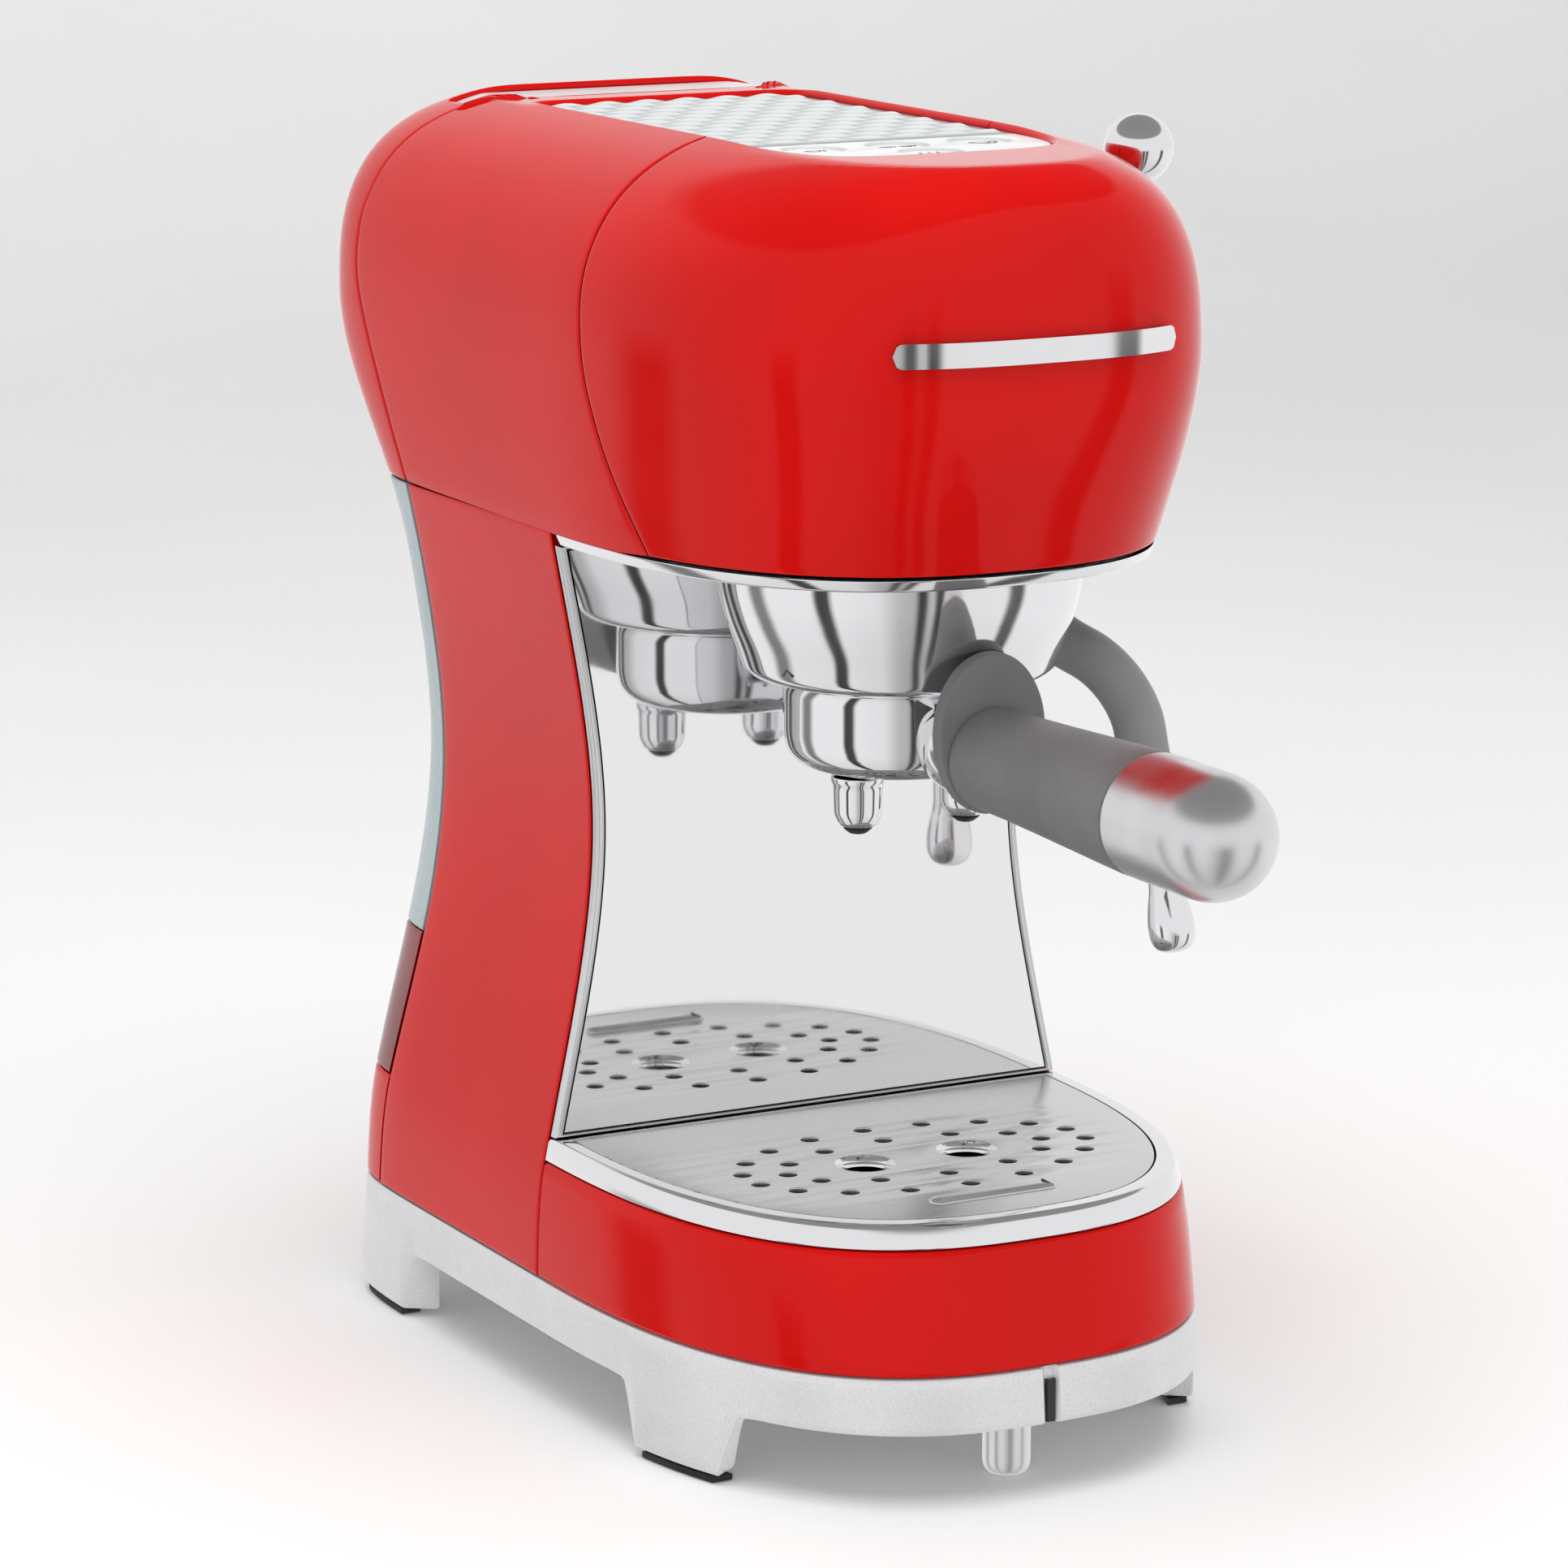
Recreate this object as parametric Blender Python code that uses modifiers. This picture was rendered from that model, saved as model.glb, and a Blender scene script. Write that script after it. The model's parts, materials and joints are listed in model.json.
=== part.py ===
"""Retro one-group espresso machine, metres, +Z up, front towards -Y.

The body is one smooth surface: at each height its plan is a superellipse with its own half width,
front reach and back reach.  Every shell, tray and tank is a slice of that surface.  Sizes below are
measured in the machine's own frame (X = 0 on the centre plane, Y = 0 on the polished backsplash,
Z = 0 on the bench); the origin of the model is the centre of the small front foot.
"""
import math

import bmesh
import bpy
import numpy as np
from mathutils import Matrix, Vector

# ---- general clearances and walls ----
GAP = 0.0004
SEAM_GAP = 0.0005
SHELL_WALL = 0.0025
TRIM_WALL = 0.0050
PLATE_WALL = 0.0024

# ---- heights of the body ----
BASE_LOW_Z = 0.0186
BASE_HIGH_Z = 0.0328
TRAY_HIGH_Z = 0.0633
RIM_HIGH_Z = 0.0695
TANK_CUP_HIGH_Z = 0.1030
TANK_TOP_Z = 0.3000
WAIST_Z = 0.1500
TRIM_LOW_Z = 0.2230
HEAD_LOW_Z = 0.2264
WIDEST_Z = 0.2740
TOP_Z = 0.3300
CUT_TOP_Z = TOP_Z + 0.0100

# ---- half widths, front reaches and back reaches of the body at those heights ----
BASE_HALF_WIDTH = 0.0780
TRAY_HALF_WIDTH = 0.0757
WAIST_HALF_WIDTH = 0.0618
NECK_HALF_WIDTH = 0.0726
HEAD_HALF_WIDTH = 0.0768
BASE_FRONT = 0.1255
DECK_FRONT = 0.1240
TRAY_FRONT = 0.1178
RIM_FRONT = 0.1152
NECK_FRONT = 0.1050
HEAD_FRONT = 0.1172
BASE_BACK = 0.1265
TRAY_BACK = 0.1235
WAIST_BACK = 0.1120
WAIST_BACK_Z = 0.1850
NECK_BACK = 0.1155
HEAD_BACK = 0.1392

# ---- how square the plan is, and how square the crown is seen from the front and the side ----
BASE_SQUARENESS = 2.60
NECK_SQUARENESS = 2.45
HEAD_SQUARENESS = 2.77
BACK_SQUARENESS = 12.0
CROWN_SIDE_SQUARENESS = 2.65
CROWN_FRONT_SQUARENESS = 6.8
CROWN_BACK_SQUARENESS = 6.6

# ---- vertical seams, as (height, distance behind the backsplash) ----
FRONT_SEAM = [(0.200, -0.056), (0.230, -0.043), (0.250, -0.032), (0.270, -0.0235), (0.290, -0.021),
              (0.340, -0.021)]
REAR_SEAM = [
    (0.020, 0.104), (0.063, 0.100), (0.110, 0.0945), (0.160, 0.092), (0.205, 0.0895), (0.228, 0.090),
    (0.250, 0.098), (0.279, 0.112), (0.298, 0.1125), (0.312, 0.107), (0.323, 0.097), (0.340, 0.093),
]
COLUMN_FRONT_Y = 0.0032

# ---- base feet ----
FOOT_PAD_HIGH_Z = 0.0015
FOOT_WALL = 0.0080
FOOT_PROUD = 0.0012
FRONT_FEET_Y = (-0.079, -0.049)
REAR_FEET_Y = (0.086, 0.116)
FOOT_FLARE = 0.009
FOOT_SHOULDER_Z = 0.011
BASE_DECK = 0.0026
BASE_SLOT_WIDTH = 0.0030
BASE_SLOT_DEPTH = 0.0025
FRONT_FOOT_Y = -0.103
FRONT_FOOT_RADIUS = 0.0060

# ---- drip tray ----
TUB_WALL = 0.0016
GRILLE_THICKNESS = 0.0014
GRILLE_HOLE_RADIUS = 0.0024
GRILLE_CENTRE_Y = -0.0564
OUTER_HOLES = (18, 0.0476, 0.0280)
INNER_HOLES = (12, 0.0366, 0.0170)
CUP_HOLE_RADIUS = 0.0065
CUP_HOLE_X = 0.0147
FINGER_SLOT = (0.036, 0.0045, -0.0955)

# ---- backsplash ----
MIRROR_THICKNESS = 0.0020
MIRROR_LOW_Z = 0.0706
EDGE_WIDTH = 0.0002
EDGE_INSET = 0.0006
EDGE_BAR = 0.0008

# ---- top panel and buttons ----
PANEL_HALF_WIDTH = 0.0395
PANEL_FRONT_Y = -0.0730
PANEL_BACK_Y = 0.0840
PANEL_SQUARENESS = 4.0
PANEL_TOP_Z = 0.3238
PANEL_THICKNESS = 0.0022
BUTTON_RADIUS = 0.0078
BUTTON_ROW_Y = -0.0445
BUTTON_PITCH = 0.0233
STEAM_BUTTON_Y = -0.0615
BUTTON_TRAVEL = 0.0012
BUTTON_SUNK = 0.0006
BUTTON_STEM = (0.0026, 0.0060)

# ---- flat shelf behind the panel, and the flat lid of the tank in it ----
SHELF_Z = 0.3250
LID_TOP_Z = 0.3248
LID_HALF_WIDTH = 0.0460
LID_Y = (0.1008, 0.1170)
LID_GAP = 0.0008
LID_THICKNESS = 0.0020

# ---- brew group and portafilter ----
GROUP_Y = -0.0465
GROUP_TOP_RADIUS = 0.0460
GROUP_LOW_RADIUS = 0.0390
GROUP_LOW_Z = 0.1930
GROUP_WALL = 0.0014
GROUP_HEAD_RADIUS = 0.0352
GROUP_HEAD_TOP_Z = 0.2300
BOILER_STEM_RADIUS = GROUP_HEAD_RADIUS - 0.0040
BAYONET_LEDGE = 0.0024
CUP_CLEARANCE = 0.0012
BOWL_STEPS = [(0.0006, 0.2140), (0.0026, 0.2070)]
CUP_RADIUS = 0.0290
CUP_LOW_Z = 0.1690
CUP_RIM_Z = 0.2044
CUP_WALL = 0.0022
LUG_REACH = 0.0336
BASKET_WALL = 0.0010
SPOUT_X = 0.0154
SPOUT_Y = -0.0535
SPOUT_RADIUS = 0.0062
SPOUT_LOW_Z = 0.1560
NOZZLE_LOW_Z = 0.1538

# ---- portafilter handle, along -Y ----
HANDLE_Z = 0.1790
NECK_RADIUS = 0.0105
COLLAR_Y = (-0.0940, -0.0894)
COLLAR_HALF = (0.0150, 0.0200)
COLLAR_CENTRE_Z = 0.1850
GRIP_Y = (-0.1690, -0.0944)
GRIP_RADII = (0.0152, 0.0127)
CAP_TIP_Y = -0.2100
ROD_RADIUS = 0.0030

# ---- steam lever, on the right-hand side of the head ----
LEVER_Y = -0.0060
LEVER_Z = 0.2850
LEVER_HUB_RADIUS = 0.0090
LEVER_BALL = (0.0850, -0.0190, 0.3166)
LEVER_BALL_RADIUS = 0.0090

# ---- steam wand ----
WAND_PIVOT = (0.0490, -0.0160, 0.2170)
WAND_BALL_RADIUS = 0.0070
WAND_ROUTE = [
    (0.0490, -0.0160, 0.2100), (0.0491, -0.0161, 0.2060), (0.0520, -0.0209, 0.1985),
    (0.0575, -0.0299, 0.1925),
    (0.0624, -0.0380, 0.1883),
    (0.0661, -0.0440, 0.1825), (0.0686, -0.0481, 0.1750), (0.0697, -0.0499, 0.1660),
    (0.0712, -0.0523, 0.1520),
    (0.0722, -0.0541, 0.1420),
]
SLEEVE_RADIUS = 0.0067
TIP_NECK_RADIUS = 0.0043
TIP_RADIUS = 0.0062
TIP_LOW = (0.0749, -0.0584, 0.1145)
WAND_TOP_Z = 0.2262

# ---- inner chassis and machinery ----
CHASSIS_WALL = 0.0020
CHASSIS_HALF_WIDTH = 0.0480
CHASSIS_BACK_Y = 0.0400
PUMP_CENTRE = (-0.0180, 0.0640)
PUMP_RADIUS = 0.0130
PUMP_COIL = (0.0380, 0.0340, 0.0360)
PUMP_Z = (0.0660, 0.1410)
BOILER_RADIUS = 0.0330
BOILER_Z = (0.2400, 0.2900)
VALVE_Z = (0.2310, 0.2420, 0.2680)
INLET_X = 0.0450
INLET_Z = 0.0470
INLET_RADIUS = 0.0055
SPIGOT_Z = 0.0800
SPIGOT_RADIUS = 0.0040

# ---- badge ----
BADGE_Z = 0.2820
BADGE_HEIGHT = 0.0060
BADGE_HALF_WIDTH = 0.0380

# ---- resolution ----
SIDE_POINTS = 10
ROUND_STEPS = 24
SMALL_STEPS = 16
SMOOTH_ANGLE = math.radians(35)

COLOURS = {
    "red_enamel": ((0.63, 0.012, 0.010), 0.12, 0.0),
    "silver_plastic": ((0.68, 0.68, 0.69), 0.32, 0.3),
    "chrome": ((0.80, 0.80, 0.81), 0.06, 1.0),
    "brushed_steel": ((0.56, 0.56, 0.57), 0.34, 1.0),
    "mirror_steel": ((0.82, 0.82, 0.83), 0.03, 1.0),
    "grip_grey": ((0.12, 0.12, 0.125), 0.55, 0.0),
    "tank_smoke": ((0.27, 0.34, 0.36), 0.15, 0.0),
    "tank_red": ((0.26, 0.008, 0.010), 0.15, 0.0),
    "panel_silver": ((0.72, 0.73, 0.73), 0.35, 0.2),
    "black_plastic": ((0.02, 0.02, 0.022), 0.5, 0.0),
    "rubber": ((0.03, 0.03, 0.03), 0.8, 0.0),
    "zinc_steel": ((0.45, 0.46, 0.47), 0.4, 1.0),
    "brass": ((0.55, 0.38, 0.13), 0.3, 1.0),
    "silicone": ((0.75, 0.74, 0.70), 0.5, 0.0),
    "board_green": ((0.02, 0.14, 0.05), 0.5, 0.0),
}

# Machine-frame places of the joints; each gets an empty that carries its moving pieces.
PIVOTS = {
    "machine": (0.0, 0.0, 0.0),
    "portafilter": (0.0, GROUP_Y, HANDLE_Z),
    "tray": (0.0, GRILLE_CENTRE_Y, BASE_HIGH_Z),
    "grille": (0.0, GRILLE_CENTRE_Y, RIM_HIGH_Z),
    "tank": (0.0, REAR_SEAM[3][1], WAIST_Z),
    "lid": (0.0, LID_Y[0], LID_TOP_Z + GAP),
    "lever": (HEAD_HALF_WIDTH, LEVER_Y, LEVER_Z),
    "wand": WAND_PIVOT,
}
BUTTONS = {
    "button_left": (-BUTTON_PITCH, BUTTON_ROW_Y),
    "button_centre": (0.0, BUTTON_ROW_Y),
    "button_right": (BUTTON_PITCH, BUTTON_ROW_Y),
    "button_steam": (0.0, STEAM_BUTTON_Y),
}
for button_name, (button_x, button_y) in BUTTONS.items():
    PIVOTS[button_name] = (button_x, button_y, PANEL_TOP_Z)


# ---------------------------------------------------------------- scene and materials
for old in list(bpy.data.objects):
    bpy.data.objects.remove(old, do_unlink=True)


def new_collection(name):
    made = bpy.data.collections.new(name)
    bpy.context.scene.collection.children.link(made)
    return made


PARTS = new_collection("espresso_machine")
CUTTERS = new_collection("cutters")


def make_materials():
    made = {}
    for name, (colour, roughness, metallic) in COLOURS.items():
        material = bpy.data.materials.new(name)
        material.use_nodes = True
        shader = material.node_tree.nodes["Principled BSDF"]
        shader.inputs["Base Color"].default_value = (*colour, 1.0)
        shader.inputs["Roughness"].default_value = roughness
        shader.inputs["Metallic"].default_value = metallic
        made[name] = material
    return made


MATERIALS = make_materials()


def make_pivots():
    """One empty per moving body, all carried by an empty that puts the origin under the front foot."""
    made = {}
    for name, place in PIVOTS.items():
        empty = bpy.data.objects.new(f"{name}_pivot", None)
        PARTS.objects.link(empty)
        if name == "machine":
            empty.location = (0.0, -FRONT_FOOT_Y, 0.0)
        else:
            empty.parent = made["machine"]
            empty.location = place
        made[name] = empty
    return made


PIVOT_EMPTIES = make_pivots()


def place(obj, at=(0.0, 0.0, 0.0), body="machine", collection=PARTS):
    collection.objects.link(obj)
    obj.parent = PIVOT_EMPTIES[body]
    obj.location = Vector(at) - Vector(PIVOTS[body])
    return obj


def dress(obj, material):
    obj.data.materials.append(MATERIALS[material])
    if obj.type == "MESH":
        obj.data.shade_smooth()
        obj.data.set_sharp_from_angle(angle=SMOOTH_ANGLE)
    return obj


def from_bmesh(bm, name, material, at=(0.0, 0.0, 0.0), body="machine"):
    bmesh.ops.recalc_face_normals(bm, faces=bm.faces)
    mesh = bpy.data.meshes.new(name)
    bm.to_mesh(mesh)
    bm.free()
    return dress(place(bpy.data.objects.new(name, mesh), at, body), material)


def cutter(bm, name, at=(0.0, 0.0, 0.0)):
    bmesh.ops.recalc_face_normals(bm, faces=bm.faces)
    mesh = bpy.data.meshes.new(name)
    bm.to_mesh(mesh)
    bm.free()
    obj = place(bpy.data.objects.new(name, mesh), at, "machine", CUTTERS)
    obj.hide_render = True
    obj.display_type = "WIRE"
    return obj


def boolean(obj, other, operation):
    modifier = obj.modifiers.new(f"{operation.lower()}_{other.name}", "BOOLEAN")
    modifier.operation = operation
    modifier.solver = "EXACT"
    modifier.object = other
    return obj


# ---------------------------------------------------------------- basic solids
def box_mesh(low, high):
    bm = bmesh.new()
    size = Vector(high) - Vector(low)
    middle = (Vector(high) + Vector(low)) / 2
    bmesh.ops.create_cube(bm, size=1.0, matrix=Matrix.Translation(middle) @ Matrix.Diagonal((*size, 1.0)))
    return bm


def rod_mesh(start, end, radius, end_radius=None, steps=SMALL_STEPS):
    """A closed cylinder or cone between two points."""
    bm = bmesh.new()
    start, end = Vector(start), Vector(end)
    turn = (end - start).to_track_quat("Z", "Y").to_matrix().to_4x4()
    bmesh.ops.create_cone(
        bm, cap_ends=True, segments=steps, radius1=radius,
        radius2=radius if end_radius is None else end_radius, depth=(end - start).length,
        matrix=Matrix.Translation((start + end) / 2) @ turn,
    )
    return bm


def box(name, low, high, material, body="machine", bevel=0.0):
    obj = from_bmesh(box_mesh(low, high), name, material, (0.0, 0.0, 0.0), body)
    if bevel:
        modifier = obj.modifiers.new("rounded_edges", "BEVEL")
        modifier.width = bevel
        modifier.segments = 2
    return obj


def turned(name, profile, at, material, body="machine", axis="Z", steps=ROUND_STEPS):
    """Turn an (r, height) profile, run top to bottom on its outer side, about Z or about -Y."""
    mesh = bpy.data.meshes.new(name)
    bm = bmesh.new()
    points = [bm.verts.new((radius, 0.0, height)) for radius, height in profile]
    for first, second in zip(points, points[1:]):
        bm.edges.new((first, second))
    if profile[0][0] > 0.0 and profile[-1][0] > 0.0:
        bm.edges.new((points[-1], points[0]))
    bm.to_mesh(mesh)
    bm.free()
    obj = place(bpy.data.objects.new(name, mesh), at, body)
    if axis == "-Y":
        obj.rotation_euler = (math.pi / 2, 0.0, 0.0)
    elif axis != "Z":
        obj.rotation_euler = Vector(axis).to_track_quat("Z", "Y").to_euler()
    screw = obj.modifiers.new("turning", "SCREW")
    screw.steps = steps
    screw.render_steps = steps
    screw.use_merge_vertices = True
    screw.merge_threshold = 0.00001
    return dress(obj, material)


def tube(name, points, radius, material, body="machine", resolution=2):
    """A round tube along a smooth line through the given points."""
    curve = bpy.data.curves.new(name, "CURVE")
    curve.dimensions = "3D"
    curve.bevel_depth = radius
    curve.bevel_resolution = resolution
    curve.use_fill_caps = True
    spline = curve.splines.new("POLY")
    spline.points.add(len(points) - 1)
    for spot, point in zip(spline.points, points):
        spot.co = (*point, 1.0)
    obj = place(bpy.data.objects.new(name, curve), (0.0, 0.0, 0.0), body)
    curve.materials.append(MATERIALS[material])
    return obj


def smooth_line(points, pieces=4):
    """Catmull-Rom line through the points, with this many pieces between neighbours."""
    ends = [2 * Vector(points[0]) - Vector(points[1])] + [Vector(p) for p in points]
    ends.append(2 * Vector(points[-1]) - Vector(points[-2]))
    line = []
    for a, b, c, d in zip(ends, ends[1:], ends[2:], ends[3:]):
        for step in range(pieces):
            t = step / pieces
            line.append(0.5 * (2 * b + (c - a) * t + (2 * a - 5 * b + 4 * c - d) * t**2
                               + (3 * b - a - 3 * c + d) * t**3))
    line.append(ends[-2])
    return line


def plate(name, outline, holes, low_z, thickness, material, body="machine", standing=False):
    """A flat plate with holes; lying at low_z, or standing in the XZ plane with its back at low_z = Y."""
    curve = bpy.data.curves.new(name, "CURVE")
    curve.dimensions = "2D"
    curve.fill_mode = "BOTH"
    curve.extrude = thickness / 2
    for ring in [outline] + holes:
        spline = curve.splines.new("POLY")
        spline.points.add(len(ring) - 1)
        spline.use_cyclic_u = True
        for spot, (x, y) in zip(spline.points, ring):
            spot.co = (x, y, 0.0, 1.0)
    middle = low_z + thickness / 2
    obj = place(bpy.data.objects.new(name, curve), (0.0, middle, 0.0) if standing else (0.0, 0.0, middle),
                body)
    if standing:
        obj.rotation_euler = (math.pi / 2, 0.0, 0.0)
    curve.materials.append(MATERIALS[material])
    return obj


def circle(centre, radius, steps=6, stretch=0.0):
    """Points of a circle, or of a slot when its ends are stretched apart along X."""
    turns = [2 * math.pi * (i + 0.5) / steps for i in range(steps)]
    return [(centre[0] + radius * math.cos(a) + math.copysign(stretch, math.cos(a)),
             centre[1] + radius * math.sin(a)) for a in turns]


# ---------------------------------------------------------------- the body surface
def ease(z, low, high):
    """Cubic between (z, value, slope) stations."""
    (z0, v0, m0), (z1, v1, m1) = low, high
    h = z1 - z0
    t = (z - z0) / h
    return ((2 * t**3 - 3 * t**2 + 1) * v0 + (t**3 - 2 * t**2 + t) * h * m0
            + (3 * t**2 - 2 * t**3) * v1 + (t**3 - t**2) * h * m1)


def stations(z, rows):
    for low, high in zip(rows, rows[1:]):
        if z <= high[0]:
            return ease(max(z, rows[0][0]), low, high)
    return rows[-1][1]


WIDTH_ROWS = [
    (BASE_LOW_Z, BASE_HALF_WIDTH, 0.0), (BASE_HIGH_Z, BASE_HALF_WIDTH, -0.03),
    (TRAY_HIGH_Z, TRAY_HALF_WIDTH, -0.20), (WAIST_Z, WAIST_HALF_WIDTH, 0.0),
    (HEAD_LOW_Z, NECK_HALF_WIDTH, 0.18), (WIDEST_Z, HEAD_HALF_WIDTH, 0.0),
]
FRONT_ROWS = [
    (BASE_LOW_Z, BASE_FRONT, -0.1), (BASE_HIGH_Z, DECK_FRONT, -0.2), (TRAY_HIGH_Z, TRAY_FRONT, -0.25),
    (RIM_HIGH_Z, RIM_FRONT, -0.4), (HEAD_LOW_Z, NECK_FRONT, 0.28), (WIDEST_Z, HEAD_FRONT, 0.0),
]
BACK_ROWS = [
    (BASE_LOW_Z, BASE_BACK, 0.0), (TRAY_HIGH_Z, TRAY_BACK, -0.08), (WAIST_BACK_Z, WAIST_BACK, 0.0),
    (HEAD_LOW_Z, NECK_BACK, 0.45), (WIDEST_Z, HEAD_BACK, 0.0),
]


def between(z, rows):
    heights = [row[0] for row in rows]
    return float(np.interp(z, heights, [row[1] for row in rows]))


def body_size(z, inset):
    """Half width, front reach, back reach and front squareness at a height, taken in by inset."""
    if z <= WIDEST_Z:
        square = between(z, [(TRAY_HIGH_Z, BASE_SQUARENESS), (HEAD_LOW_Z, NECK_SQUARENESS),
                             (WIDEST_Z, HEAD_SQUARENESS)])
        return (stations(z, WIDTH_ROWS) - inset, stations(z, FRONT_ROWS) - inset,
                stations(z, BACK_ROWS) - inset, square)
    rise = (z - WIDEST_Z) / (TOP_Z - inset - WIDEST_Z)

    def shrink(n):
        return (1 - rise**n) ** (1 / n)

    return ((HEAD_HALF_WIDTH - inset) * shrink(CROWN_SIDE_SQUARENESS),
            (HEAD_FRONT - inset) * shrink(CROWN_FRONT_SQUARENESS),
            (HEAD_BACK - inset) * shrink(CROWN_BACK_SQUARENESS), HEAD_SQUARENESS)


def side_line(z, inset, y0, y1, count=SIDE_POINTS):
    """Points of the +X side of the body's plan from y0 back to y1 (None is the tip on the centre plane)."""
    width, front, back, square = body_size(z, inset)

    def angle(y):
        if y < 0:
            return -math.asin(min(1.0, -y / front) ** (square / 2))
        return math.asin(min(1.0, y / back) ** (BACK_SQUARENESS / 2))

    start = -math.pi / 2 if y0 is None else angle(y0)
    end = math.pi / 2 if y1 is None else angle(y1)
    turn = np.linspace(start, end, count)
    power = np.where(turn < 0, 2 / square, 2 / BACK_SQUARENESS)
    x = width * np.abs(np.cos(turn)) ** power
    y = np.where(turn < 0, -front, back) * np.abs(np.sin(turn)) ** power
    x[np.abs(turn) > math.pi / 2 - 1e-6] = 0.0
    return list(zip(x.tolist(), y.tolist()))


def section(z, inset, y0, y1, count=SIDE_POINTS):
    """Closed plan of the body between two planes of constant Y."""
    right = side_line(z, inset, y0, y1, count)
    left = [(-x, y) for x, y in reversed(right)]
    if y1 is None:
        left = left[1:]
    if y0 is None:
        left = left[:-1]
    return [(x, y, z) for x, y in right + left]


def loft(rings):
    """Closed solid through rings of equal count, which have unlike plans, with flat ends."""
    bm = bmesh.new()
    rows = [[bm.verts.new(point) for point in ring] for ring in rings]
    for low, high in zip(rows, rows[1:]):
        for i in range(len(low)):
            j = (i + 1) % len(low)
            bm.faces.new((low[i], low[j], high[j], high[i]))
    bm.faces.new(rows[0])
    bm.faces.new(rows[-1])
    return bm


def seam_y(z, seam):
    return between(z, seam)


def crown_heights(inset=0.0, last=0.997):
    """Heights up the crown, closer together towards the top."""
    rise = [math.sin(math.radians(a)) for a in (20, 36, 48, 58, 66, 73, 80)]
    rise = [k for k in rise if k < last - 0.004] + [last]
    return [WIDEST_Z + k * (TOP_Z - inset - WIDEST_Z) for k in rise]


COLUMN_LEVELS = [0.070, 0.095, 0.122, WAIST_Z, 0.178, 0.203]
HEAD_LEVELS = [HEAD_LOW_Z + GAP, 0.240, 0.256, WIDEST_Z]


# ---------------------------------------------------------------- base
def base_frame():
    low, high = BASE_LOW_Z, BASE_HIGH_Z
    obj = from_bmesh(loft([section(z, 0.0, None, None) for z in (low, high)]), "base_frame", "silver_plastic")
    pocket = loft([section(z, FOOT_WALL / 2, None, None) for z in (low - 0.004, high - BASE_DECK)])
    boolean(obj, cutter(pocket, "base_pocket"), "DIFFERENCE")
    for row, span in (("front", FRONT_FEET_Y), ("rear", REAR_FEET_Y)):
        for hand, sign in (("left", -1), ("right", 1)):
            boolean(obj, foot_solid(f"{row}_{hand}", span, sign), "UNION")
    slot = box_mesh((-BASE_SLOT_WIDTH / 2, -BASE_FRONT - 0.01, low - 0.01),
                    (BASE_SLOT_WIDTH / 2, -BASE_FRONT + BASE_SLOT_DEPTH, high - BASE_DECK))
    boolean(obj, cutter(slot, "base_slot"), "DIFFERENCE")


def foot_solid(name, span, sign):
    """A foot whose outer face follows the side of the base and whose ends flare into it."""
    def ring(z, y0, y1):
        outer = side_line(BASE_LOW_Z, -FOOT_PROUD, y0, y1, 5)
        inner = [(x - FOOT_WALL, y) for x, y in reversed(outer)]
        return [(sign * x, y, z) for x, y in outer + inner]
    y0, y1 = span
    rings = [ring(FOOT_PAD_HIGH_Z + GAP, y0, y1),
             ring(FOOT_SHOULDER_Z, y0 - FOOT_FLARE * 0.35, y1 + FOOT_FLARE * 0.35),
             ring(BASE_LOW_Z + 0.006, y0 - FOOT_FLARE, y1 + FOOT_FLARE)]
    return cutter(loft(rings), f"foot_{name}")


def foot_pads():
    for row, span in (("front", FRONT_FEET_Y), ("rear", REAR_FEET_Y)):
        for hand, sign in (("left", -1), ("right", 1)):
            outer = side_line(BASE_LOW_Z, 0.0, span[0] + 0.002, span[1] - 0.002, 5)
            inner = [(x - FOOT_WALL + 2 * FOOT_PROUD, y) for x, y in reversed(outer)]
            ring = [(sign * x, y) for x, y in outer + inner]
            solid = loft([[(x, y, z) for x, y in ring] for z in (0.0, FOOT_PAD_HIGH_Z)])
            from_bmesh(solid, f"foot_pad_{row}_{hand}", "rubber")


def front_foot():
    r = FRONT_FOOT_RADIUS
    top = BASE_HIGH_Z - BASE_DECK - GAP
    turned("front_foot", [(0.0, top), (r, top), (r, 0.0016), (r - 0.0005, 0.0005), (r - 0.0016, 0.0),
                          (0.0, 0.0)],
           (0.0, FRONT_FOOT_Y, 0.0), "chrome", steps=24)


def base_slot_strip():
    box("base_slot_strip", (-BASE_SLOT_WIDTH / 2 + GAP, -BASE_FRONT + 0.0008, BASE_LOW_Z + GAP),
        (BASE_SLOT_WIDTH / 2 - GAP, -BASE_FRONT + BASE_SLOT_DEPTH - GAP, BASE_HIGH_Z - BASE_DECK - GAP),
        "black_plastic")


# ---------------------------------------------------------------- drip tray
TRAY_BACK_Y = COLUMN_FRONT_Y - SEAM_GAP - GAP
RIM_INSET = 0.0046


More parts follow.
